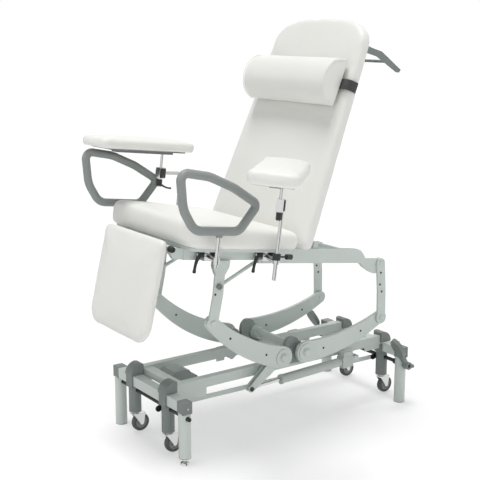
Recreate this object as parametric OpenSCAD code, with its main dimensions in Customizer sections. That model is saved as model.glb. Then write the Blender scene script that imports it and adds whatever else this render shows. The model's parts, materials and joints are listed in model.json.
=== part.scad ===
// Phlebotomy chair with a lift base, sampling pads, armrest loops and a swing legrest.
// The origin is on the floor midway between the four legs.
// x points to the sitter's left, y to the head end and z up.

/* [Base] */
// Distance between the leg axes across the chair
leg_span_x = 498; // [440:1:560]
// Distance between the leg axes along the chair
leg_span_y = 1128; // [1060:1:1200]
// Diameter of a leg tube
leg_dia = 48; // [42:0.5:52]
// Wall thickness of the leg and base tubes
tube_wall = 3; // [2:0.1:4]
// Height of the underside of the end crossbars
crossbar_z = 210; // [195:1:225]
// Height of an end crossbar section
crossbar_h = 42; // [36:0.5:48]
// Depth of an end crossbar section
crossbar_d = 40; // [34:0.5:46]
// Length of a corner connector across the chair
connector_l = 45; // [40:0.5:50]
// Distance between the centres of the two long base rails
rail_span = 258; // [240:1:280]
// Width of a long base rail
rail_w = 30; // [24:0.5:36]
// Height of a long base rail
rail_h = 40; // [34:0.5:46]
// Height of the underside of the long base rails
rail_z = 241; // [235:1:250]
// Height of the plates hung under the ends of the base rails
side_plate_h = 36; // [26:0.5:40]
// Length of the plates hung under the ends of the base rails
side_plate_l = 143; // [100:1:180]
// Height that the levelling foot holds its leg tube clear of the floor
foot_lift = 27; // [20:0.5:34]
// Diameter of the levelling foot disc
foot_dia = 34; // [28:0.5:40]

/* [Casters] */
// Diameter of a caster housing
housing_dia = 51; // [48:0.5:54]
// Height of the lower end of a caster housing
housing_z = 93; // [88:1:98]
// Width of the domed housing cover
cover_w = 52; // [46:0.5:58]
// Rise of the domed housing cover above the crossbar
cover_rise = 47; // [40:0.5:54]
// Diameter of a caster wheel
wheel_dia = 75; // [70:0.5:78]
// Width of a caster wheel
wheel_w = 24; // [20:0.5:28]
// Height of the wheel axle with the casters raised
wheel_z = 41; // [40:0.5:44]
// Distance of the wheel axle behind the swivel axis
caster_trail = 22; // [18:0.5:26]
// Diameter of a caster stem
stem_dia = 22; // [18:0.5:26]
// Height of the front caster shaft
front_hex_z = 190; // [184:1:196]
// Height of the rear caster shaft
rear_hex_z = 178; // [172:1:184]
// Size of the hexagonal caster shafts across the corners
hex_dia = 18; // [14:0.5:20]
// Length of the cranks of the push bar
crank_r = 26; // [20:0.5:30]
// Angle of the cranks below the level
crank_drop = 20; // [10:1:30]
// Height of the push bar section
push_bar_h = 19; // [14:0.5:24]
// Length of a caster pedal from its hub to its upper end
pedal_l = 158; // [140:1:170]
// Lean of a caster pedal from the vertical
pedal_lean = 33; // [25:1:40]
// Width of a pedal pad
pedal_w = 56; // [48:0.5:60]
// Length of a pedal pad
pedal_pad_l = 104; // [90:1:110]

/* [Lift] */
// Distance of the front lift pivot from the middle of the base
front_root_y = 60; // [56:0.5:64]
// Distance of the rear lift pivot from the middle of the base
rear_root_y = 58; // [54:0.5:62]
// Height of both lift pivots
root_z = 315; // [310:1:320]
// Distance of the front arm end pivot from the middle of the base
front_pin_y = 409; // [405:0.5:413]
// Height of the front arm end pivot
front_pin_z = 523; // [519:0.5:527]
// Distance of the rear arm end pivot from the middle of the base
rear_pin_y = 471; // [467:0.5:475]
// Height of the rear arm end pivot
rear_pin_z = 395; // [391:0.5:399]
// Inner face of the lift arms from the middle of the chair
arm_x = 192; // [188:0.5:196]
// Thickness of a lift arm
arm_t = 16; // [12:0.5:18]
// Radius of the rooted end of a lift arm
arm_root_r = 45; // [40:0.5:50]
// Radius of the far end of a lift arm
arm_tip_r = 27; // [24:0.5:30]
// Thickness of the front legs and rear links
link_t = 8; // [6:0.5:10]
// Width of the front legs and rear links
link_w = 45; // [40:0.5:50]
// Diameter of the pivot shafts of the lift
root_shaft_dia = 40; // [34:0.5:46]
// Diameter of the pins at the ends of the lift arms
link_pin_dia = 20; // [16:0.5:24]
// Inner face of a bearing pedestal from the middle of the chair
pedestal_x = 146; // [145:0.5:150]
// Thickness of a bearing pedestal
pedestal_t = 18; // [14:0.5:20]
// Height of the top of the bearing pedestals
pedestal_top = 378; // [370:1:386]
// Distance of the lift actuators from the middle of the chair
actuator_x = 179; // [177:0.5:181]
// Diameter of an actuator tube
actuator_dia = 38; // [32:0.5:40]
// Distance of the front actuator clevis behind the middle
front_clevis_y = 343; // [338:1:348]
// Height of the front actuator clevis
front_clevis_z = 224; // [220:1:228]
// Distance of the front lever pin ahead of the middle
front_lever_y = 207; // [203:1:211]
// Height of the front lever pin
front_lever_z = 206; // [203:1:209]
// Distance of the rear actuator clevis behind the middle
rear_clevis_y = 343; // [338:1:348]
// Height of the rear actuator clevis
rear_clevis_z = 224; // [220:1:228]
// Distance of the rear lever pin ahead of the middle
rear_lever_y = 54; // [51:1:57]
// Height of the rear lever pin
rear_lever_z = 216; // [213:1:219]

/* [Top frame] */
// Height of the top frame above the floor at the middle of the base
frame_z = 762.4; // [758:0.5:766]
// Slope of the top frame down towards the head end
frame_tilt = 7.8; // [7.2:0.1:8.4]
// Outer face of the frame rails from the middle of the chair
frame_x = 212; // [210:0.5:213]
// Width of a frame rail
frame_rail_w = 24; // [20:0.5:28]
// Height of the front part of a frame rail
front_rail_h = 46; // [42:0.5:50]
// Height of the rear part of a frame rail
rear_rail_h = 60; // [56:0.5:64]
// Front end of the frame rails
frame_front = 538; // [530:1:546]
// Front end of the tall part of a frame rail
rail_step = 184; // [170:1:200]
// Rear end of the tall part of a frame rail
frame_rear = 309; // [300:1:318]
// Rear pin of the frame along the frame
frame_pin_y = 472.6; // [468:0.5:477]
// Drop of the rear pin of the frame below the rail tops
frame_pin_drop = 60.8; // [57:0.5:64]

/* [Seat] */
// Half width of the seat cushion
seat_half_w = 325; // [305:1:340]
// Front edge of the seat cushion along the frame
seat_front = 572; // [562:1:580]
// Rear edge of the seat cushion along the frame
seat_rear = 82; // [76:1:92]
// Thickness of the seat cushion at its rear edge
seat_rear_h = 74; // [66:1:82]
// Thickness of the seat cushion at its front edge
seat_front_h = 104; // [94:1:112]
// Thickness of the seat board
seat_board_t = 12; // [9:0.5:15]
// Corner radius of the seat cushion
seat_corner_r = 55; // [40:1:70]

/* [Backrest] */
// Lean of the backrest from the vertical
back_lean = 22.7; // [20:0.1:25]
// Backrest hinge along the frame
back_hinge_y = 10; // [6:0.5:14]
// Backrest hinge above the rail tops
back_hinge_z = 15; // [12:0.5:18]
// Distance of the cushion's lower edge below the hinge
back_low = 15; // [10:0.5:20]
// Distance of the cushion's arched top above the hinge
back_high = 934; // [910:1:950]
// Half width of the back cushion near its lower edge
back_half_low = 336; // [320:1:345]
// Half width of the back cushion near its top
back_half_high = 288; // [275:1:300]
// Distance of the front face of the back cushion ahead of the hinge
back_face = 93; // [85:1:100]
// Thickness of the back cushion
back_t = 60; // [50:1:68]
// Thickness of the back panel
back_panel_t = 2.5; // [2:0.1:4]
// Half length of the head roll
roll_half_l = 268; // [250:1:280]
// Height of the head roll along the backrest
roll_h = 192; // [175:1:205]
// Depth of the head roll ahead of the backrest
roll_d = 96; // [85:1:105]
// Middle of the head roll above the hinge
roll_at = 650; // [630:1:670]
// Width of the head roll strap
strap_w = 42; // [34:0.5:50]
// Distance of the push handle's arms from the middle of the chair
handle_x = 262; // [250:1:266]
// Diameter of the push handle's crossbar
handle_dia = 12; // [10:0.5:16]
// Reach of the push handle behind the hinge plane
handle_reach = 170; // [150:1:185]

/* [Legrest] */
// Lean of the legrest from the vertical
legrest_lean = 13.5; // [11:0.5:17]
// Legrest hinge along the frame
legrest_hinge_y = 600; // [594:0.5:606]
// Drop of the legrest hinge below the rail tops
legrest_hinge_drop = 5; // [3:0.5:8]
// Half width of the legrest cushion
legrest_half_w = 214; // [205:1:225]
// Distance of the upper edge of the cushion above the hinge
legrest_high = 16; // [10:1:20]
// Distance of the lower edge of the cushion below the hinge
legrest_low = 368; // [345:1:385]
// Thickness of the legrest cushion
legrest_t = 38; // [34:1:46]
// Corner radius at the lower edge of the legrest
legrest_corner_r = 72; // [60:1:85]

/* [Armrests] */
// Clearance between the seat cushion and the armrest loops
loop_gap = 17.5; // [13.5:0.5:26]
// Length of an armrest loop between its outermost bends
loop_l = 350; // [340:1:360]
// Height of an armrest loop between its outermost bends
loop_h = 204; // [196:1:212]
// Height of the lower run of an armrest loop above the rail tops
loop_low = 86; // [82:1:90]
// Diameter of the padded armrest tube
loop_dia = 33; // [28:0.5:38]
// Armrest post along the frame
arm_post_y = 491; // [485:1:497]
// Diameter of the armrest and pad posts
post_dia = 16; // [14:0.5:20]

/* [Sampling arms] */
// Post of the sampling pads along the frame
pad_post_y = 217; // [210:1:224]
// Length of a sampling pad
pad_l = 466; // [440:1:490]
// Width of a sampling pad
pad_w = 177; // [160:1:190]
// Thickness of a sampling pad
pad_t = 46; // [40:1:52]
// Length of a clamp lever handle
lever_l = 66; // [56:1:74]
// Length of the bent upper end of a pad post
pad_reach = 124; // [114:1:130]
// Turn of the left pad post's bent end from straight ahead
left_post_turn = 47; // [40:1:55]
// Turn of the right pad post's bent end from straight ahead
right_post_turn = -13; // [-20:1:-5]
// Turn of the left sampling pad from the line of the chair
left_pad_turn = 46; // [36:1:56]
// Turn of the right sampling pad from the line of the chair
right_pad_turn = -6; // [-15:1:0]
// Height of the left pad's clamp block above the rail tops
left_post_top = 208; // [198:1:218]
// Height of the right pad's clamp block above the rail tops
right_post_top = 225; // [219:1:233]
// Height of the left sampling pad above the middle of its clamp block
left_pad_rise = 110; // [102:1:118]
// Height of the right sampling pad above the middle of its clamp block
right_pad_rise = 96; // [94:1:102]
// Droop of the left pad post's bent end below the line of the top frame
left_droop = 3.6; // [2:0.1:5]
// Droop of the right pad post's bent end below the line of the top frame
right_droop = 0.6; // [0:0.1:2]
// Distance of a rail clamp behind its post
clamp_back = 44; // [38:1:50]

/* [Clearances] */
// Radial running clearance of pins and shafts
run_fit = 0.05; // [0.03:0.01:0.09]
// Clearance between pieces that move past each other
free_gap = 0.4; // [0.3:0.05:0.8]
// Clearance between a soft form and its neighbours
soft_gap = 0.3; // [0.2:0.05:0.6]
/* [Hidden] */
mm = 1;
frame_grey = "#a9b4ae";
plastic_grey = "#7d8583";
bright = "#d0d4d6";
black = "#1c1d1f";
white_cover = "#ecece6";
xl = leg_span_x / 2;
yl = leg_span_y / 2;
rail_x = rail_span / 2;
crossbar_top = crossbar_z + crossbar_h;
rail_top = rail_z + rail_h;
hex_hole_r = hex_dia / 2 + free_gap;
stem_r = stem_dia / 2;
stem_top = housing_z + 66 * mm;
crank_x = rail_x - housing_dia / 2 - 8 * mm;
crank_y = crank_r * cos(crank_drop);
crank_z = crank_r * sin(crank_drop);
root_r = root_shaft_dia / 2;
bend_ease = 0.2 * mm;
loop_x = seat_half_w + loop_gap + loop_dia / 2;
overrun = 2 * mm;
edge_ease = 0.03 * mm;
link_x = arm_x + arm_t + free_gap + 0.6 * mm;
link_pin_r = link_pin_dia / 2;
eye_half = 8 * mm;
clevis_r = 5 * mm;
rod_r = 7 * mm;
frame_slope = frame_tilt;
legrest_y = -legrest_hinge_y;
legrest_z = -legrest_hinge_drop;
legrest_eye_r = 12 * mm;
legrest_back = legrest_eye_r + 2 * soft_gap;

// Places and turns

module along_x(x0, t) {
  translate([x0, 0, 0]) rotate([90, 0, 90]) linear_extrude(t) children();
}

module both_sides() {
  children();
  mirror([1, 0, 0]) children();
}

module both_ends() {
  children();
  mirror([0, 1, 0]) children();
}

module in_frame() {
  translate([0, 0, frame_z]) rotate([-frame_tilt, 0, 0]) children();
}

// World place of a point of the top frame, and the frame place of a world point
function world_y(y, z) = y * cos(frame_slope) + z * sin(frame_slope);
function world_z(y, z) = frame_z - y * sin(frame_slope) + z * cos(frame_slope);
function local_y(y, z) = y * cos(frame_slope) - (z - frame_z) * sin(frame_slope);
function local_z(y, z) = y * sin(frame_slope) + (z - frame_z) * cos(frame_slope);

// The backrest has its own frame at the hinge, z up its height and y to its rear
module in_back() {
  translate([0, world_y(back_hinge_y, back_hinge_z), world_z(back_hinge_y, back_hinge_z)])
    rotate([-back_lean, 0, 0]) children();
}

// The legrest has its own frame at the hinge, z up its height and y to its rear
module in_legrest() {
  translate([0, world_y(legrest_y, legrest_z), world_z(legrest_y, legrest_z)])
    rotate([-legrest_lean, 0, 0]) children();
}

module rod_x(x0, x1, y, z, r) {
  translate([x0, y, z]) rotate([0, 90, 0]) cylinder(r = r, h = x1 - x0, $fn = 64);
}

module rod_between(a, b, r) {
  d = b - a;
  translate(a) rotate([0, acos(d[2] / norm(d)), atan2(d[1], d[0])])
    cylinder(r = r, h = norm(d), $fn = 48);
}

module tube_box(size, wall, axis) {
  inner = [size[0] - (axis == 0 ? -wall : 2 * wall), size[1] - (axis == 1 ? -wall : 2 * wall),
    size[2] - (axis == 2 ? -wall : 2 * wall)];
  difference() {
    cube(size, center = true);
    cube(inner, center = true);
  }
}

// A bar with a round end at both of its points, in the plane of its face
module link_bar(a, b, w) {
  d = b - a;
  translate(a) circle(d = w, $fn = 64);
  translate(b) circle(d = w, $fn = 64);
  translate(a) rotate(atan2(d[1], d[0])) translate([0, edge_ease - w / 2])
    square([norm(d), w - 2 * edge_ease]);
}

// Swept arm shape with a bowed middle line
function bow(a, c, b, t) = (1 - t) * (1 - t) * a + 2 * t * (1 - t) * c + t * t * b;
function bow_dir(a, c, b, t) = 2 * (1 - t) * (c - a) + 2 * t * (b - c);
function side_of(v) = [-v[1], v[0]] / norm(v);
module bowed_arm(a, c, b, ra, rb, swell) {
  n = 20;
  up = [for (i = [0:n]) bow(a, c, b, i / n)
    + side_of(bow_dir(a, c, b, i / n)) * (ra + (rb - ra) * i / n + swell * sin(180 * i / n))];
  down = [for (i = [0:n]) bow(a, c, b, 1 - i / n)
    - side_of(bow_dir(a, c, b, 1 - i / n)) * (rb + (ra - rb) * i / n + swell * sin(180 * i / n))];
  polygon(concat(up, down));
  translate(a) circle(r = ra, $fn = 72);
  translate(b) circle(r = rb, $fn = 64);
}

// A round tube bent along the corners of a closed loop, drawn in its own plane
function wrap(i, n) = (i + n) % n;
function unit(v) = v / norm(v);
function turn_at(p, i) = let (n = len(p), u = unit(p[i] - p[wrap(i - 1, n)]),
  v = unit(p[wrap(i + 1, n)] - p[i])) atan2(u[0] * v[1] - u[1] * v[0], u * v);
function tangent_at(p, r, i) = r[i] * tan(abs(turn_at(p, i)) / 2);
module bent_loop(p, r, tube_r) {
  n = len(p);
  for (i = [0:n - 1]) {
    j = wrap(i + 1, n);
    u = unit(p[i] - p[wrap(i - 1, n)]);
    v = unit(p[j] - p[i]);
    t = turn_at(p, i);
    s = t > 0 ? 1 : -1;
    start = p[i] - u * tangent_at(p, r, i);
    centre = start + [-u[1], u[0]] * r[i] * s;
    a0 = atan2(start[1] - centre[1], start[0] - centre[0]);
    translate(centre) rotate(min(a0, a0 + t)) rotate_extrude(angle = abs(t), $fn = 96)
      translate([r[i], 0]) circle(r = tube_r + bend_ease, $fn = 28);
    a = p[i] + v * (tangent_at(p, r, i) - overrun);
    b = p[j] - v * (tangent_at(p, r, j) - overrun);
    translate(a) rotate([90, 0, atan2(v[1], v[0]) + 90]) cylinder(r = tube_r, h = norm(b - a), $fn = 28);
  }
}

// Soft forms: rings of one outline, drawn in and raised, closed by a flat base and a crown
function arc_pts(c, r, a0, a1, n) = [for (i = [0:n]) c + r * [cos(a0 + (a1 - a0) * i / n),
  sin(a0 + (a1 - a0) * i / n)]];
function ring_pts(o, c, h, in, z0, t0, slope, f, up) = [for (q = o)
  [c[0] + (q[0] - c[0]) * (1 - in / h[0]), c[1] + (q[1] - c[1]) * (1 - in / h[1]),
    z0 + f * (t0 + slope * (q[1] - c[1]) * (1 - in / h[1])) + up]];
module soft_form(o, c, h, rings, z0, t0, slope) {
  n = len(o);
  m = len(rings);
  pts = [for (k = rings) each ring_pts(o, c, h, k[0], z0, t0, slope, k[1], k[2])];
  low = [c[0], c[1], z0];
  high = [c[0], c[1], z0 + t0 + rings[m - 1][2] + 0.6 * mm];
  polyhedron(points = concat(pts, [low, high]), faces = concat(
    [for (i = [0:m - 2], j = [0:n - 1]) [i * n + j, (i + 1) * n + j, (i + 1) * n + (j + 1) % n]],
    [for (i = [0:m - 2], j = [0:n - 1]) [i * n + j, (i + 1) * n + (j + 1) % n, i * n + (j + 1) % n]],
    [for (j = [0:n - 1]) [m * n, j, (j + 1) % n]],
    [for (j = [0:n - 1]) [m * n + 1, (m - 1) * n + (j + 1) % n, (m - 1) * n + j]]), convexity = 4);
}
// Section of a padded form of thickness t with edge radius r and a crown rise
function padded_rings(t, r, crown) = concat(
  [[r * 0.35, 0, 0], [r * 0.1, 0, r * 0.22], [0, 0, r * 0.6]],
  [for (i = [0:5]) [r * (1 - cos(15 * i)), 1, -r + r * sin(15 * i)]],
  [[r * 1.15, 1, crown * 0.08], [r * 2.2, 1, crown * 0.45], [r * 4.2, 1, crown * 0.85]]);
function box_outline(x0, x1, y0, y1, r0, r1) = concat(
  arc_pts([x0 + r0, y0 + r0], r0, 180, 270, 8), arc_pts([x1 - r0, y0 + r0], r0, 270, 360, 8),
  arc_pts([x1 - r1, y1 - r1], r1, 0, 90, 8), arc_pts([x0 + r1, y1 - r1], r1, 90, 180, 8));

// Base

// Plates hung under the ends of the base rails
module side_plates() both_sides() {
  x0 = rail_x + rail_w / 2;
  y0 = yl - crossbar_d / 2 - 7 * mm;
  difference() {
    translate([x0 - 4 * mm, -y0, rail_z - side_plate_h]) cube([4 * mm, side_plate_l, side_plate_h]);
    translate([x0 - mm, -y0 + side_plate_l * 0.16, rail_z - side_plate_h * 0.78])
      cube([2 * mm, side_plate_l * 0.42, side_plate_h * 0.5]);
  }
  translate([x0 - 6 * mm, y0 - side_plate_l * 0.62, rail_z - side_plate_h * 0.5])
    cube([4 * mm, side_plate_l * 0.62, side_plate_h * 0.5]);
}

module base_frame() color(frame_grey) {
  side_plates();
  both_ends() translate([0, yl, crossbar_z + crossbar_h / 2])
    tube_box([leg_span_x - leg_dia + 6 * mm, crossbar_d, crossbar_h], tube_wall, 0);
  both_sides() translate([rail_x, 0, rail_z + rail_h / 2])
    tube_box([rail_w, leg_span_y - crossbar_d, rail_h], tube_wall, 1);
  translate([0, crossbar_d / 2 + 34 * mm - yl, rail_z + rail_h / 2])
    cube([rail_span - rail_w, 44 * mm, rail_h - 12 * mm], center = true);
}

module control_box() color(plastic_grey) {
  y0 = crossbar_d / 2 + 56 * mm - yl;
  along_x(-rail_w * 1.8, rail_w * 3) polygon([[y0, rail_z - 6 * mm], [y0 + 122 * mm, rail_z - 6 * mm],
    [y0 + 122 * mm, rail_z + 12 * mm], [y0 + 96 * mm, rail_z + 20 * mm], [y0 + 84 * mm, rail_z + rail_h + 2 * mm],
    [y0 + 70 * mm, rail_z + rail_h + 6 * mm], [y0 + 16 * mm, rail_z + rail_h + 6 * mm], [y0, rail_z + rail_h - 6 * mm]]);
}

module leg_tube(foot) {
  translate([xl, yl, 0]) difference() {
    translate([0, 0, foot]) cylinder(d = leg_dia, h = crossbar_z - foot - free_gap, $fn = 72);
    translate([0, 0, foot + 16 * mm])
      cylinder(r = leg_dia / 2 - tube_wall, h = crossbar_z, $fn = 64);
    if (foot > 0) translate([0, 0, foot - mm]) cylinder(r = 6 * mm + run_fit, h = 24 * mm, $fn = 40);
  }
}

module leg_tubes() color(frame_grey) {
  difference() {
    both_sides() leg_tube(0);
    rod_x(-xl - leg_dia, xl + leg_dia, yl, rear_hex_z, hex_hole_r);
  }
  difference() {
    mirror([0, 1, 0]) {
      leg_tube(foot_lift);
      mirror([1, 0, 0]) leg_tube(0);
    }
    rod_x(-xl - leg_dia, xl + leg_dia, -yl, front_hex_z, hex_hole_r);
  }
}

module connector() {
  x0 = xl - leg_dia / 2 + 3 * mm;
  difference() {
    union() {
      translate([x0, yl - crossbar_d / 2 - 1.5 * mm, crossbar_z - 3 * mm]) linear_extrude(crossbar_h + 4.5 * mm)
        offset(r = 3 * mm) translate([3 * mm, 3 * mm]) square([connector_l - 6 * mm, crossbar_d - 3 * mm]);
      translate([x0 - 18 * mm, yl, crossbar_z + crossbar_h / 2])
        cube([40 * mm, crossbar_d - 2 * tube_wall - 0.4 * mm, crossbar_h - 2 * tube_wall - 0.4 * mm],
          center = true);
    }
    translate([xl, yl, crossbar_z - 4 * mm])
      cylinder(d = leg_dia + 0.1 * mm, h = 4 * mm - free_gap, $fn = 72);
  }
}

module corner_connectors() color(plastic_grey) both_sides() both_ends() connector();

module housing(hex_z) {
  difference() {
    union() {
      translate([rail_x, yl, housing_z]) cylinder(d = housing_dia, h = crossbar_z - housing_z, $fn = 72);
      translate([rail_x - cover_w / 2 + 2 * mm, yl + crossbar_d / 2, crossbar_z - 8 * mm])
        cube([cover_w - 4 * mm, 6.5 * mm, crossbar_h + 10 * mm]);
      translate([rail_x - cover_w / 2 + 2 * mm, yl - crossbar_d / 2 - 6.5 * mm, crossbar_z - 8 * mm])
        cube([cover_w - 4 * mm, 6.5 * mm, rail_z - crossbar_z + 8 * mm]);
      along_x(rail_x - cover_w / 2, cover_w) polygon(concat(
        [[yl - 28 * mm, crossbar_top], [yl + 29 * mm, crossbar_top]],
        arc_pts([yl - 18 * mm, crossbar_top], cover_rise, 0, 90, 16),
        [[yl - 28 * mm, crossbar_top + cover_rise - 3 * mm]]));
    }
    translate([rail_x - rail_w / 2 - 0.2 * mm, 0, rail_z - 0.2 * mm])
      cube([rail_w + 0.4 * mm, yl - crossbar_d / 2 + 0.2 * mm, rail_h + 0.4 * mm]);
    translate([rail_x, yl, housing_z - mm])
      cylinder(r = stem_r + run_fit, h = stem_top + 5 * mm - housing_z, $fn = 48);
    rod_x(rail_x - housing_dia, rail_x + housing_dia, yl, hex_z, hex_hole_r);
  }
}

module caster_housings() color(plastic_grey) both_sides() {
  housing(rear_hex_z);
  mirror([0, 1, 0]) housing(front_hex_z);
}

// A clevis of two cheeks on a web, with a cross pin
module clevis(x, y, z, back) {
  s = back > 0 ? 1 : -1;
  web_y = y + s * 19 * mm;
  translate([rail_x + rail_w / 2, min(web_y, web_y + s * 5 * mm), z - 13 * mm])
    cube([x + eye_half + 5 * mm - rail_x - rail_w / 2 + free_gap, 5 * mm, 26 * mm]);
  translate([rail_x + rail_w / 2, min(web_y, web_y + s * 5 * mm) - 18 * mm, z - 13 * mm])
    cube([5 * mm, 23 * mm, rail_z - z + 27 * mm]);
  for (k = [-1, 1]) along_x(x + k * (eye_half + 2.5 * mm + free_gap) - 2.5 * mm, 5 * mm) union() {
    translate([y, z]) circle(r = 12 * mm, $fn = 48);
    translate([min(y, y + s * 20 * mm), z - 12 * mm]) square([20 * mm, 24 * mm]);
  }
  rod_x(x - eye_half - 7 * mm, x + eye_half + 7 * mm, y, z, clevis_r);
}

module base_brackets() color(frame_grey) {
  clevis(actuator_x, front_clevis_y, front_clevis_z, 1);
  mirror([1, 0, 0]) clevis(actuator_x, rear_clevis_y, rear_clevis_z, 1);
  both_sides() {
    translate([rail_x + rail_w / 2, -110 * mm, rail_top - 31 * mm])
      cube([pedestal_x + pedestal_t - rail_x - rail_w / 2, 220 * mm, 12 * mm]);
    translate([rail_x + rail_w / 2, -150 * mm, rail_z - 25 * mm])
      cube([5 * mm, 40 * mm, rail_h + 25 * mm]);
  }
}

module pedestal_shape() {
  translate([-front_root_y, root_z]) circle(r = root_r + 14 * mm, $fn = 64);
  translate([rear_root_y, root_z]) circle(r = root_r + 14 * mm, $fn = 64);
  translate([-front_root_y - root_r - 22 * mm, rail_top - 19 * mm])
    square([front_root_y + rear_root_y + 2 * root_r + 44 * mm, 36 * mm]);
  translate([-16 * mm, rail_top - 19 * mm]) square([72 * mm, pedestal_top - rail_top - 17 * mm]);
  translate([20 * mm, pedestal_top - 36 * mm]) circle(r = 36 * mm, $fn = 64);
}

module bearing_pedestals() color(plastic_grey) both_sides() difference() {
  union() {
    along_x(pedestal_x, pedestal_t) pedestal_shape();
    for (k = [0, 1, 2]) translate([pedestal_x + pedestal_t - mm, (k * 22 - 8) * mm, rail_top - 12 * mm])
      cube([2.6 * mm, 9 * mm, pedestal_top - rail_top - 20 * mm]);
  }
  rod_x(pedestal_x - mm, pedestal_x + 40 * mm, -front_root_y, root_z, root_r + run_fit);
  rod_x(pedestal_x - mm, pedestal_x + 40 * mm, rear_root_y, root_z, root_r + run_fit);
}

module levelling_foot() color(bright) translate([xl, -yl, 0]) {
  cylinder(d = foot_dia, h = 7 * mm, $fn = 48);
  translate([0, 0, 7 * mm]) cylinder(r1 = foot_dia / 2, r2 = 8 * mm, h = 7 * mm, $fn = 48);
  cylinder(r = 6 * mm, h = foot_lift + 12 * mm, $fn = 40);
  translate([0, 0, 16 * mm]) cylinder(r = 10 * mm, h = 7 * mm, $fn = 6);
}

// Caster gear

module crank(y, z, pin) {
  along_x(crank_x + 0.4 * mm, 5.6 * mm) link_bar([y, z], [y - crank_y, z - crank_z], 24 * mm);
  rod_x(crank_x - 5.5 * mm, crank_x + 2 * mm, y - crank_y, z - crank_z, pin);
}

module front_caster_shaft() color(black) {
  rod_hex(-xl - leg_dia / 2 - 12 * mm, xl + leg_dia / 2 + 12 * mm, -yl, front_hex_z);
  crank(-yl, front_hex_z, 5 * mm);
}

module rod_hex(x0, x1, y, z) {
  translate([x0, y, z]) rotate([0, 90, 0]) cylinder(d = hex_dia, h = x1 - x0, $fn = 6);
}

module rear_caster_shaft() color(black) {
  rod_hex(-xl - leg_dia / 2 - 30 * mm, xl + leg_dia / 2 + 30 * mm, yl, rear_hex_z);
  crank(yl, rear_hex_z, 5 * mm);
  both_sides() rod_x(xl - leg_dia / 2 - 12 * mm, xl - leg_dia / 2 - free_gap, yl, rear_hex_z, hex_dia / 2 + 4 * mm);
}

module pedal() {
  px = xl + leg_dia / 2 + 1.4 * mm;
  pad_mid = pedal_l - pedal_pad_l / 2;
  difference() {
    translate([px, yl, rear_hex_z]) rotate([pedal_lean, 0, 0]) {
      rotate([0, 90, 0]) cylinder(r = 17 * mm, h = 30 * mm, $fn = 56);
      translate([0, -8 * mm, 0]) cube([26 * mm, 15 * mm, pad_mid]);
      translate([15 * mm, 9 * mm, pad_mid]) rotate([90, 0, 0]) linear_extrude(18 * mm)
        scale([pedal_w / pedal_pad_l, 1]) circle(d = pedal_pad_l, $fn = 72);
      for (k = [-3:3]) translate([15 * mm - pedal_w * 0.36, 8 * mm, pad_mid + k * pedal_pad_l / 9])
        cube([pedal_w * 0.72, 3 * mm, 4 * mm]);
      rotate([-pedal_lean, 0, 0]) translate([4 * mm, 0, -14 * mm]) cube([22 * mm, 34 * mm, 13 * mm]);
    }
    translate([px - mm, yl, rear_hex_z]) rotate([0, 90, 0]) cylinder(d = hex_dia, h = 40 * mm, $fn = 6);
  }
}

module foot_pedals() color(plastic_grey) both_sides() pedal();

module caster_push_bar() color(frame_grey) difference() {
  a = [-yl - crank_y, front_hex_z - crank_z];
  b = [yl - crank_y, rear_hex_z - crank_z];
  along_x(crank_x - 4 * mm, 4 * mm) link_bar(a, b, push_bar_h);
  rod_x(crank_x - 8 * mm, crank_x + 8 * mm, a[0], a[1], 5 * mm + free_gap);
  rod_x(crank_x - 8 * mm, crank_x + 8 * mm, b[0], b[1], 5 * mm + run_fit);
  // Relief for the front shaft over the first part of the travel
  for (k = [0:4]) rod_x(crank_x - 8 * mm, crank_x + mm, a[0] + crank_r * cos(crank_drop + 10 * k),
    a[1] + crank_r * sin(crank_drop + 10 * k), hex_dia / 2 + 2 * free_gap);
}

module caster_stems() color(bright) both_sides() both_ends() translate([rail_x, yl, 0]) {
  translate([0, 0, wheel_z + wheel_dia / 2 + 5.5 * mm])
    cylinder(r = stem_r, h = stem_top - wheel_z - wheel_dia / 2 - 5.5 * mm, $fn = 48);
  translate([0, 0, wheel_z + wheel_dia / 2 + 0.7 * mm]) cylinder(r = 5 * mm, h = 10 * mm, $fn = 40);
}

module fork(sx, sy) color(bright) translate([sx * rail_x, sy * yl, 0]) {
  crown_z = wheel_z + wheel_dia / 2 + 0.7 * mm;
  cheek = wheel_w / 2 + 0.8 * mm;
  difference() {
    translate([-cheek - 3 * mm, -17 * mm, crown_z]) cube([2 * cheek + 6 * mm, caster_trail + 34 * mm, 4.3 * mm]);
    translate([0, 0, crown_z - mm]) cylinder(r = 5 * mm + run_fit, h = 8 * mm, $fn = 40);
  }
  for (k = [0, 1]) along_x(k * (2 * cheek + 3 * mm) - cheek - 3 * mm, 3 * mm) union() {
    translate([caster_trail, wheel_z]) circle(r = 9 * mm, $fn = 40);
    polygon([[caster_trail - 9 * mm, wheel_z], [caster_trail + 9 * mm, wheel_z],
      [caster_trail + 17 * mm, crown_z + 4 * mm], [-17 * mm, crown_z + 4 * mm]]);
  }
  rod_x(-cheek - mm, cheek + mm, caster_trail, wheel_z, 4 * mm);
}

module wheel(sx, sy) translate([sx * rail_x, sy * yl + caster_trail, wheel_z]) rotate([0, 90, 0])
  translate([0, 0, -wheel_w / 2]) difference() {
    color("#4c5050") rotate_extrude($fn = 72) polygon(concat([[4 * mm + run_fit, wheel_w * 0.1],
      [wheel_dia * 0.24, wheel_w * 0.1], [wheel_dia * 0.27, 0]],
      arc_pts([wheel_dia / 2 - 5 * mm, 5 * mm], 5 * mm, 270, 360, 5),
      arc_pts([wheel_dia / 2 - 5 * mm, wheel_w - 5 * mm], 5 * mm, 0, 90, 5),
      [[wheel_dia * 0.27, wheel_w], [wheel_dia * 0.24, wheel_w * 0.9], [4 * mm + run_fit, wheel_w * 0.9]]));
  }

// Lift

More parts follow.
